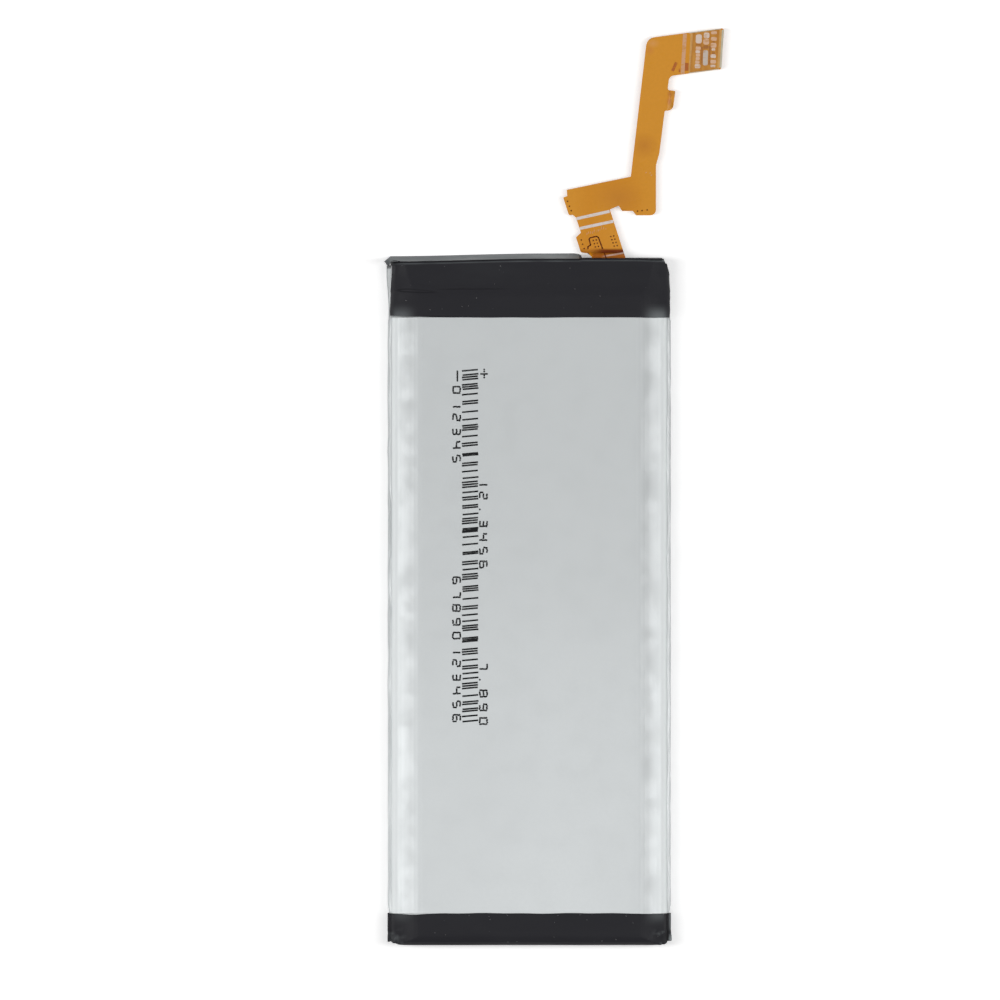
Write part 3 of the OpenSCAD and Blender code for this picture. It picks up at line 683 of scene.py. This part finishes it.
def ripple_bottom_tape(place, normal):
    wave = 0.5 + 0.5 * wander(place.x * 0.5, place.y, 3.2, 5.0)
    step = -normal * size("tape_ripple") * wave
    step -= normal * size("pucker") * gathers(place) * (
        0.5 + wander(place.x, place.y, 0.55, 6.0))
    reach = ramp(-place.y, 46.0, 47.4)
    step.y -= 0.1 * reach + 0.4 * ramp(abs(place.x), 18.3, 19.1) * ramp(-place.y, 46.3, 46.7)
    if place.x < 0:
        step.y += 0.17 * bell(place.x, -18.8, 0.7) * ramp(-place.y, 46.2, 46.8)
        step.y -= 0.2 * ramp(-place.x, 19.0, 19.2) * ramp(-place.y, 46.2, 46.7)
    elif place.x > 19.2:
        step.x += 0.1 * bell(place.y, -46.6, 0.3)
    if normal.z > 0.2:
        step.z -= 0.2 * bell(place.x, 18.9, 0.12) * ramp(-place.y, 43.2, 43.6)
    if place.y > BOTTOM_HIGH.y - 0.05:
        step.y += 0.09 + size("edge_wave") * wander(place.x, place.z, 4, 7.0)
        step.y -= (0.2 if place.x < 0 else 0.1) * bell(abs(place.x), 16.6, 2.6)
    return step


# Painted light and shade on the lower tape: a painted reflection beside the rim, a line of painted
# shade along the seal, painted light on the right end and its corner, and painted highlights and
# shade on the gathered corners
def bottom_tape_painted_light(place, normal):
    tone = (0.1 if place.x < 0 else 0.22) * rim_reflection(place, BOTTOM_HIGH.y, 2.0)
    tone -= 0.6 * bell(place.x, 18.95, 0.16)
    tone += 0.4 * ramp(place.x, 19.2, 19.4) * (1 - ramp(-place.y, 44.8, 46.2))
    tone += bell(place.x, 19.4, 0.15) * bell(place.y, -46.5, 0.16)
    tone += gathers(place) * (0.05 + 0.9 * wander(place.x, place.y, 0.5, 6.5))
    return tone


class BATTERY_OT_tapes(bpy.types.Operator):
    """Builds the black tape round both ends, with its fold and its gathered corners"""

    bl_idname = "battery.tapes"
    bl_label = "Tapes"

    def execute(self, context):
        material = tape_finish()
        top = copied_shape("top_tape")
        slice_shape(top, "X", steps(TOP_LOW.x + 1, TOP_HIGH.x - 0.3, 0.6))
        slice_shape(top, "Y", steps(TOP_LOW.y + 0.3, FOLD_LOW - 0.4, 0.4))
        slice_shape(top, "Y", steps(FOLD_LOW, FOLD_HIGH, 0.06))
        slice_shape(top, "Y", steps(FOLD_HIGH + 0.4, EDGE_Y - 0.8, 0.5))
        slice_shape(top, "Y", steps(EDGE_Y - 0.54, EDGE_Y - 0.03, 0.06))
        slice_shape(top, "Z", steps(0.4, 3.6, 0.8))
        slice_shape(top, "X", [-19.9, -19.7, -19.5, -19.3])
        move_points(top, ripple_top_tape, top_tape_painted_light)
        finish_piece(top, "upper_tape", material, ["top_tape"])
        bottom = copied_shape("bottom_tape")
        slice_shape(bottom, "X", steps(BOTTOM_LOW.x + 4.5, BOTTOM_HIGH.x - 4.5, 0.9))
        for side in (-1, 1):
            slice_shape(bottom, "X", [side * place for place in steps(15.3, 19.3, 0.2)])
        slice_shape(bottom, "Y", steps(BOTTOM_LOW.y + 0.3, BOTTOM_HIGH.y - 0.3, 0.25))
        slice_shape(bottom, "Z", steps(0.4, 4.0, 0.4))
        move_points(bottom, ripple_bottom_tape, bottom_tape_painted_light)
        finish_piece(bottom, "lower_tape", material, ["bottom_tape"])
        return {"FINISHED"}


DUST = [(-17.56, 46.15), (-11.7, 46.02), (-3.97, 46.09), (5.62, 45.82), (-4.8, 43.61),
        (-7.28, 41.68), (-12.04, 40.16), (-13.7, 40.05), (-9.28, 40.5), (-8.39, 40.57),
        (6.31, 42.92), (9.76, 41.95), (-17.01, 41.33), (-8.32, -43.54), (-5.56, -43.68),
        (-5.42, -44.09), (-3.01, -43.53), (-13.01, -45.91), (-11.56, -46.19), (-2.94, -47.2),
        (-1.69, -47.13), (3.96, -43.54), (7.0, -43.44), (3.48, -44.5), (7.97, -44.13),
        (13.35, -43.61), (3.41, -46.51), (10.04, -47.06), (11.97, -46.85), (17.76, -46.44),
        (14.31, -44.57)]


class BATTERY_OT_dust(bpy.types.Operator):
    """Scatters the few pale specks that cling to the tape"""

    bl_idname = "battery.dust"
    bl_label = "Dust"

    def execute(self, context):
        draw = Random(4)
        shape = bmesh.new()
        for x, y in DUST:
            dip = 0.45 * ramp(y, 43.6, 46.8)
            place = Matrix.Translation((x * MM, y * MM, (TAPE_Z - dip) * MM))
            turn = Matrix.Rotation(draw.uniform(0, pi), 4, "Z")
            wide = draw.uniform(0.03, 0.045) * MM
            flat = Matrix.Diagonal((wide * draw.uniform(1, 2.2), wide, wide * 0.4, 1))
            bmesh.ops.create_icosphere(shape, subdivisions=1, radius=1,
                                       matrix=place @ turn @ flat)
        dust = moulded_finish("pale_dust", srgb(128, 128, 128), 0.8, 0.05)
        finish_piece(shape, "dust_specks", dust)
        return {"FINISHED"}


# Print

INK_LIFT, INK_DEPTH = 0.004, 0.01
BAR_TOP, BAR_END, BAR_X = 31.7, -17.0, -8.16
BAR_TILT = radians(5.2)
BAR_LINES = (1, 2, 1, 3, 1, 2, 3, 1, 2, 1, 3)
BAR_PITCHES = (1.0, 1.4, 1.3, 1.05, 1.45)
BAR_GAPS = (1.5, 3.1, 2.2, 1.7, 3.4, 2.6, 2.0, 3.6)

# The strokes that make each plain digit, and where the dots of each stroke lie, as steps across
# and up from the digit's middle
DIGITS = ("abcdef", "bc", "abdeg", "abcdg", "bcfg", "acdfg", "acdefg", "abc", "abcdefg", "abcdfg")
STROKES = {"a": (0, 3, 1, 0), "b": (2.6, 1.6, 0, 1), "c": (2.6, -1.6, 0, 1), "d": (0, -3, 1, 0),
           "e": (-2.6, -1.6, 0, 1), "f": (-2.6, 1.6, 0, 1), "g": (0, 0, 1, 0)}
DIGIT_PITCH, DOT_STEP = 1.9, 0.165


def ink_plate(shape, middle, length, width, turn=0.0):
    low = FACE_Z + face_dip(*middle) + INK_LIFT
    add_plate(shape, middle, length, width, low - INK_DEPTH, low + INK_DEPTH, turn)


def ink_dot(shape, x, y):
    low = FACE_Z + face_dip(x, y) + INK_LIFT
    add_disc(shape, (x, y), size("dot"), low - INK_DEPTH, low + INK_DEPTH, 8)


def add_digits(shape, x, top, text):
    """A row of plain dotted digits that reads downwards, its first digit at the top."""
    draw = Random(len(text))
    for place, sign in enumerate(text):
        y = top - place * DIGIT_PITCH
        if sign == ".":
            ink_dot(shape, x - 3 * DOT_STEP, y)
            continue
        for stroke in DIGITS[int(sign)]:
            across, up, run, rise = STROKES[stroke]
            for dot in (-1, 0, 1):
                ink_dot(shape, x + (up + rise * dot + draw.uniform(-0.2, 0.2)) * DOT_STEP,
                        y - (across + run * dot * 1.2 + draw.uniform(-0.2, 0.2)) * DOT_STEP)


class BATTERY_OT_marks(bpy.types.Operator):
    """Prints plain bars, polarity signs and a count of dotted digits on the pouch"""

    bl_idname = "battery.marks"
    bl_label = "Printed marks"

    def execute(self, context):
        ink = ink_finish("black_ink", tuple(colours().print_ink), srgb(112, 114, 114), 0.45)
        bars = bmesh.new()
        draw = Random(8)
        unit = size("bar_unit")
        y, index = BAR_TOP, 0
        while y > BAR_END:
            for line in range(BAR_LINES[(index * 3 + index // 11) % len(BAR_LINES)]):
                middle = (BAR_X + draw.uniform(-0.06, 0.06), y)
                ink_plate(bars, middle, size("bar_length"), unit * 1.02, BAR_TILT)
                y -= unit * BAR_PITCHES[index % len(BAR_PITCHES)]
            y -= unit * BAR_GAPS[(index * 3 + index // 8) % len(BAR_GAPS)]
            index += 1
        finish_piece(bars, "printed_bars", ink, smooth=False)
        signs = bmesh.new()
        for dot in range(7):
            ink_dot(signs, -9.92, 31.55 - 0.215 * dot)
        for dot in (-2, -1, 1, 2):
            ink_dot(signs, -6.22, 31.25 + 0.28 * dot)
        ink_plate(signs, (-6.25, 31.2), 1.05, 0.23)
        finish_piece(signs, "printed_polarity", ink, smooth=False)
        digits = bmesh.new()
        add_digits(digits, -10.03, 29.0, "012345")
        add_digits(digits, -10.03, 2.7, "67890123456")
        add_digits(digits, -6.33, 16.3, "12.3456")
        add_digits(digits, -6.33, -9.1, "7.890")
        finish_piece(digits, "printed_digits", ink, smooth=False)
        return {"FINISHED"}


# Circuit

PRINT_T = 0.012
TRACE = [(8.16, 47.9), (8.1, 48.8), (8.48, 49.05), (8.27, 49.85), (8.41, 50.03),
         (9.28, 50.25), (9.57, 50.07), (10.07, 48.69), (10.4, 47.9)]
NECK_VIAS = [(3.32, 2.66), (2.71, 2.66), (2.07, 2.64)]
ARM_VIAS = [(-0.20, 0.37), (-0.09, -0.35), (0.04, -1.00)]
FOOT_VIAS = [(9.00, -2.89), (9.63, -2.94), (10.34, -2.99)]
VIA_GROUPS = [((2.74, 1.10), (1.33, 1.09)), ((2.52, -1.36), (1.11, -1.41))]


# Solder marks on the head: where, across and along each column, how big, and of what kind; the shade
# kind is painted shade between and beside the marks
SOLDER = [(-3.38, 1.77, 0.84, 1.25, "pale"), (-3.36, 0.93, 0.8, 0.26, "shade"),
          (-3.42, 0.5, 0.7, 0.46, "pink"), (-3.46, 0.02, 0.62, 0.42, "pale"),
          (-3.42, -0.44, 0.6, 0.42, "pink"), (-3.45, -0.9, 0.56, 0.42, "pink"),
          (-3.47, -1.38, 0.6, 0.46, "pink"), (-3.42, -1.95, 0.8, 0.56, "pale"),
          (-2.3, 2.1, 0.78, 0.8, "pale"), (-2.33, 1.25, 0.8, 0.82, "pink"),
          (-2.34, 0.52, 0.7, 0.5, "shade"), (-2.36, -0.95, 0.68, 2.1, "grey"),
          (-1.28, 2.34, 0.8, 0.42, "pink"), (-1.26, 1.5, 0.8, 0.52, "pink"),
          (-1.28, 1.08, 0.3, 0.2, "shade"), (-1.28, 0.62, 0.8, 0.66, "pink"),
          (-1.28, 0.05, 0.5, 0.34, "pale"), (-1.26, -0.42, 0.4, 0.3, "shade"),
          (-1.28, -0.86, 0.74, 0.52, "pale"), (-1.26, -1.62, 0.78, 0.52, "pink"),
          (-1.28, -2.2, 0.7, 0.34, "pale"),
          (-1.8, -0.7, 0.26, 2.7, "shade"), (-2.9, -0.6, 0.22, 2.5, "shade")]


def shape_film(place, normal):
    """The die-cut outline's small unevenness: the tab beside the column sits a little high."""
    step = Vector((0, 0, 0))
    inner_side = 14.15 + 0.117 * (place.y - 58.5)
    if place.y > 57:
        if place.x < inner_side + 0.6:
            step.x -= 0.12
        elif place.y < 70.5 and place.x > inner_side + 2.4:
            rise = 0.42 + 0.3 * ramp(place.y, 61.5, 66.6)
            step += Vector((0.1 * ramp(place.y, 61.5, 66.6), rise, 0))
    if place.x > 16.9 and place.y < 54:
        step.x += 0.9 * min(0, place.x - 17.52)
        step.y -= 0.9 * min(0, 53.14 - place.y) if place.y < 53.6 else 0
    return step


def on_film(shape, middle, length, width, turn, base=LEVEL_TOP):
    add_plate(shape, middle, length, width, base - PRINT_T, base + PRINT_T, turn)


def add_pad(shape, middle, across, tall, lift):
    """A solder mark on the head's plate: a thin plate that leans and has rounded corners."""
    before = set(shape.edges)
    on_film(shape, middle, across, tall, HEAD.turn - HEAD_LEAN, PLATE_TOP + lift)
    upright = [edge for edge in shape.edges if edge not in before
               and abs(edge.verts[0].co.z - edge.verts[1].co.z) > PRINT_T * MM]
    bmesh.ops.bevel(shape, geom=upright, offset=0.32 * min(across, tall) * MM, segments=3,
                    profile=0.5, affect="EDGES", material=-1)


class BATTERY_OT_circuit(bpy.types.Operator):
    """Finishes the flexible circuit and adds its printed lines, plated holes and trace"""

    bl_idname = "battery.circuit"
    bl_label = "Flexible circuit"

    def execute(self, context):
        film = copied_shape("flex_circuit")
        move_points(film, shape_film, lambda place, normal: 0.0)
        finish_piece(film, "flex_film", film_finish(), ["flex_circuit"])
        dress("flex_stiffener", plate_finish())
        self.lines()
        self.holes()
        self.trace()
        self.solder()
        return {"FINISHED"}

    def lines(self):
        shape = bmesh.new()
        width = size("white_line")
        for start, end in (((6.32, 2.38), (5.88, -2.3)), ((4.9, 2.38), (4.42, -2.36))):
            add_line(shape, NECK.at(*start), NECK.at(*end), width,
                     LEVEL_TOP - PRINT_T, LEVEL_TOP + PRINT_T)
        ink = ink_finish("white_ink", tuple(colours().white_ink), srgb(206, 170, 130), 0.4)
        finish_piece(shape, "circuit_white_lines", ink, smooth=False)
        shape = bmesh.new()
        for along, wide in ((-4.89, 0.52),):
            add_line(shape, HEAD.at(HEAD_LENGTH + along, 2.72),
                     HEAD.at(HEAD_LENGTH + along - 1.05, -2.72), wide,
                     LEVEL_TOP - PRINT_T, LEVEL_TOP + PRINT_T)
        draw = Random(11)
        for place in range(11):
            along = 3.75 + draw.uniform(-0.12, 0.12)
            start = NECK.at(along, 1.7 - place * 0.27)
            end = NECK.at(along + draw.uniform(0.15, 0.4), 1.7 - place * 0.27 - 0.1)
            add_line(shape, start, end, 0.07, LEVEL_TOP - PRINT_T, LEVEL_TOP + PRINT_T)
        for spot in ((16.15, 59.05), (16.7, 59.0), (16.9, 58.7)):
            on_film(shape, spot, 0.2, 0.09, 0.6)
        faded = ink_finish("faded_ink", srgb(216, 168, 132), srgb(206, 142, 62), 0.8)
        finish_piece(shape, "circuit_faded_lines", faded, smooth=False)

    def holes(self):
        shape = bmesh.new()
        places = [NECK.at(*spot) for spot in NECK_VIAS]
        places += [ARM.at(*spot) for spot in ARM_VIAS + FOOT_VIAS]
        for first, last in VIA_GROUPS:
            for i in range(4):
                along = first[0] + (last[0] - first[0]) * i / 3
                left = first[1] + (last[1] - first[1]) * i / 3
                places += [NECK.at(along, left), NECK.at(along - 0.05, left - 0.42)]
        for place in places:
            add_disc(shape, place, size("via"), LEVEL_TOP - PRINT_T, LEVEL_TOP + PRINT_T)
        plated = ink_finish("via_brown", srgb(100, 46, 14), srgb(140, 84, 44), 0.6)
        finish_piece(shape, "circuit_vias", plated, smooth=False)

    def trace(self):
        shape = bmesh.new()
        for start, end in zip(TRACE, TRACE[1:]):
            add_line(shape, start, end, 0.17, LEVEL_TOP - PRINT_T, LEVEL_TOP + PRINT_T)
            add_disc(shape, end, 0.17, LEVEL_TOP - PRINT_T, LEVEL_TOP + PRINT_T, 8)
        copper = ink_finish("trace_brown", tuple(colours().copper), srgb(120, 58, 18), 0.5)
        finish_piece(shape, "circuit_trace", copper, smooth=False)
        shape = bmesh.new()
        marks = ((-6.92, -1.6, 1.3, 0.4, 58), (-5.25, -1.84, 0.5, 1.1, -9),
                 (-6.3, -2.2, 0.2, 0.5, -9))
        for along, left, length, width, turn in marks:
            on_film(shape, HEAD.at(HEAD_LENGTH + along, left), length, width,
                    HEAD.turn + radians(turn))
        patch = ink_finish("rusty_stain", srgb(182, 104, 52), srgb(206, 132, 50), 0.8)
        finish_piece(shape, "circuit_stains", patch, smooth=False)

    def solder(self):
        """Three leaning columns of solder marks, uneven bumps of one pad each."""
        inks = {"shade": (srgb(172, 114, 62), srgb(190, 130, 66), 0.0),
                "pink": (tuple(colours().solder), srgb(204, 150, 100), 0.004),
                "grey": (srgb(206, 192, 180), srgb(190, 160, 132), 0.008),
                "pale": (srgb(226, 206, 192), srgb(212, 172, 136), 0.008)}
        for kind, (ink, under, lift) in inks.items():
            shape = bmesh.new()
            for along, left, across, tall, sort in SOLDER:
                if sort == kind:
                    add_pad(shape, HEAD.at(HEAD_LENGTH + along + 0.167 * left, left),
                            across, tall, lift)
            finish_piece(shape, "head_solder_" + kind, ink_finish("solder_" + kind, ink, under,
                                                                  0.75), smooth=False)
        self.edges()

    def edges(self):
        """The pale edges of the head and the faint line before its plate."""
        grey, gold = bmesh.new(), bmesh.new()
        for shape, along, wide in ((gold, 0.09, 0.32), (grey, 0.39, 0.27)):
            add_line(shape, HEAD.at(HEAD_LENGTH + along, 2.58),
                     HEAD.at(HEAD_LENGTH + along - 1.02, -2.58), wide,
                     PLATE_TOP - PRINT_T, PLATE_TOP + PRINT_T)
        for left, start, end in ((2.74, -4.3, 0.1), (-2.74, -5.1, -0.9)):
            add_line(grey, HEAD.at(HEAD_LENGTH + start, left), HEAD.at(HEAD_LENGTH + end, left),
                     0.11, LEVEL_TOP - PRINT_T, LEVEL_TOP + PRINT_T)
        add_line(gold, HEAD.at(HEAD_LENGTH - 3.95, 2.6), HEAD.at(HEAD_LENGTH - 4.92, -2.6), 0.34,
                 LEVEL_TOP - PRINT_T, LEVEL_TOP + PRINT_T)
        finish_piece(grey, "head_edge_strip", clear_finish("edge_film", srgb(198, 190, 166), 0.4),
                     smooth=False)
        finish_piece(gold, "head_gold_strip", clear_finish("gold_film", srgb(208, 156, 82), 0.4),
                     smooth=False)


class BATTERY_OT_plug(bpy.types.Operator):
    """Finishes the plug under the head"""

    bl_idname = "battery.plug"
    bl_label = "Plug"

    def execute(self, context):
        dress("connector_housing", moulded_finish("plug_resin", srgb(34, 34, 37), 0.42, 0.08))
        gold = metal_finish("gold_flash", srgb(222, 184, 104), 0.26, 0.15)
        dress("signal_contacts", gold)
        dress("power_contacts", gold)
        return {"FINISHED"}


class BATTERY_OT_bay(bpy.types.Operator):
    """Finishes the protection board and everything else that the taped bay holds"""

    bl_idname = "battery.bay"
    bl_label = "Board bay"

    def execute(self, context):
        film = clear_finish("sealing_film", srgb(196, 190, 172), 0.45)
        nickel = metal_finish("nickel_strip", srgb(188, 186, 180), 0.34, 0.4, (1, 0.15, 1))
        finishes = {
            "positive_tab": metal_finish("aluminium_tab", srgb(206, 208, 210), 0.38, 0.4,
                                         (1, 0.15, 1)),
            "negative_tab": nickel,
            "positive_weld_plate": nickel,
            "negative_weld_plate": nickel,
            "positive_tab_film": film,
            "negative_tab_film": film,
            "terrace_insulator": clear_finish("insulating_paper", srgb(208, 160, 84), 0.55),
            "protection_board": board_finish(),
            "thermal_fuse": moulded_finish("fuse_body", srgb(150, 152, 150), 0.4, 0.2),
            "mosfet_pair": moulded_finish("chip_resin", srgb(38, 38, 41), 0.5, 0.1),
            "protection_ic": moulded_finish("ic_resin", srgb(44, 44, 47), 0.46, 0.1),
            "sense_resistor": moulded_finish("resistor_coat", srgb(30, 30, 33), 0.35, 0.1),
            "thermistor": moulded_finish("thermistor_coat", srgb(60, 74, 70), 0.4, 0.1),
            "chip_capacitors": moulded_finish("capacitor_body", srgb(158, 122, 86), 0.45, 0.1),
            "chip_resistors": moulded_finish("resistor_body", srgb(28, 28, 31), 0.4, 0.1),
            "board_spacer": foam_finish(),
        }
        for node, material in finishes.items():
            dress(node, material)
        return {"FINISHED"}


# Stage

CAMERA_X, CAMERA_Y, FRAME_WIDTH = -4.04, 13.8, 138.0
SENSOR, LENS = 36.0, 600.0
FLOOR_SIZE = 3000.0


def seen_directly(tree):
    """One for rays that show the background: straight from the camera, by gloss or through glass."""
    path = tree.nodes.new("ShaderNodeLightPath")
    either = path.outputs["Is Camera Ray"]
    for ray in ("Is Glossy Ray", "Is Transmission Ray"):
        both = tree.nodes.new("ShaderNodeMath")
        both.operation = "MAXIMUM"
        tree.links.new(either, both.inputs[0])
        tree.links.new(path.outputs[ray], both.inputs[1])
        either = both.outputs[0]
    return either


def add_lamp(name, place, size, power):
    lamp = bpy.data.lights.new(name, "AREA")
    lamp.shape = "RECTANGLE"
    lamp.size, lamp.size_y = size
    lamp.energy = power
    holder = bpy.data.objects.new(name, lamp)
    holder.location = place
    holder.rotation_euler = (-Vector(place)).to_track_quat("-Z", "Y").to_euler()
    bpy.context.scene.collection.objects.link(holder)


class BATTERY_OT_stage(bpy.types.Operator):
    """Sets the pale floor, the soft lamps and the camera that looks straight down"""

    bl_idname = "battery.stage"
    bl_label = "Stage"

    def execute(self, context):
        self.floor()
        self.world()
        for side, high, low in ((-1, 2.2, 1.84), (1, 2.05, 1.58)):
            add_lamp("high_softbox", (side * 0.5, 0, 0.8), (0.2, 0.45), high)
            add_lamp("low_softbox", (side * 0.78, 0, 0.54), (0.2, 0.45), low)
            add_lamp("end_softbox", (0, side * 0.27, 0.7), (0.5, 0.3), 0.3)
        self.camera()
        return {"FINISHED"}

    def floor(self):
        shape = bmesh.new()
        low = Matrix.Translation((0, 0, (TOP_LOW.z - 0.02) * MM))
        bmesh.ops.create_grid(shape, x_segments=8, y_segments=8, size=FLOOR_SIZE / 2 * MM,
                              matrix=low)
        mesh = bpy.data.meshes.new("floor")
        shape.to_mesh(mesh)
        shape.free()
        floor = bpy.data.objects.new("floor", mesh)
        base = tuple(colours().floor)
        made = Finish("pale_floor", base, 0.8)
        made.put("Base Color", made.blend(made.span(made.cloud(60, 2), 0.3, 0.7), base,
                                          shade(base, 1.01)))
        made.put("Emission Color", (1, 1, 1, 1))
        lift = made.maths("MULTIPLY", seen_directly(made.tree), 0.36)
        made.put("Emission Strength", lift)
        mesh.materials.append(made.material)
        bpy.context.scene.collection.objects.link(floor)

    def world(self):
        world = bpy.data.worlds.new("studio")
        world.use_nodes = True
        tree = world.node_tree
        strength = tree.nodes.new("ShaderNodeMapRange")
        tree.links.new(seen_directly(tree), strength.inputs["Value"])
        strength.inputs["To Min"].default_value = 0.1
        strength.inputs["To Max"].default_value = 1.0
        background = tree.nodes["Background"]
        background.inputs["Color"].default_value = (1, 1, 1, 1)
        tree.links.new(strength.outputs[0], background.inputs["Strength"])
        bpy.context.scene.world = world

    def camera(self):
        lens = bpy.data.cameras.new("camera")
        lens.sensor_width, lens.lens = SENSOR, LENS
        height = FRAME_WIDTH * LENS / SENSOR
        camera = bpy.data.objects.new("camera", lens)
        camera.location = (CAMERA_X * MM, CAMERA_Y * MM, (FACE_Z + height) * MM)
        bpy.context.scene.collection.objects.link(camera)
        bpy.context.scene.camera = camera
        bpy.context.scene.view_settings.view_transform = "Standard"


OPERATORS = (BATTERY_OT_pouch, BATTERY_OT_tapes, BATTERY_OT_dust, BATTERY_OT_marks,
             BATTERY_OT_circuit, BATTERY_OT_plug, BATTERY_OT_bay, BATTERY_OT_stage)


class BATTERY_PT_panel(bpy.types.Panel):
    """Lists the battery's pieces and the values behind them"""

    bl_idname = "BATTERY_PT_panel"
    bl_label = "Phone battery"
    bl_space_type = "VIEW_3D"
    bl_region_type = "UI"
    bl_category = "Battery"

    def draw(self, context):
        for operator in OPERATORS:
            self.layout.operator(operator.bl_idname)
        for group in (context.scene.battery_sizes, context.scene.battery_colours):
            column = self.layout.column()
            for name in group.bl_rna.properties.keys():
                if name not in ("rna_type", "name"):
                    column.prop(group, name)


CLASSES = (BatterySizes, BatteryColours, *OPERATORS, BATTERY_PT_panel)


def register():
    for each in CLASSES:
        bpy.utils.register_class(each)
    bpy.types.Scene.battery_sizes = PointerProperty(type=BatterySizes)
    bpy.types.Scene.battery_colours = PointerProperty(type=BatteryColours)


def unregister():
    del bpy.types.Scene.battery_colours
    del bpy.types.Scene.battery_sizes
    for each in reversed(CLASSES):
        bpy.utils.unregister_class(each)


def main():
    register()
    for operator in OPERATORS:
        family, name = operator.bl_idname.split(".")
        getattr(getattr(bpy.ops, family), name)()


if __name__ == "__main__":
    main()
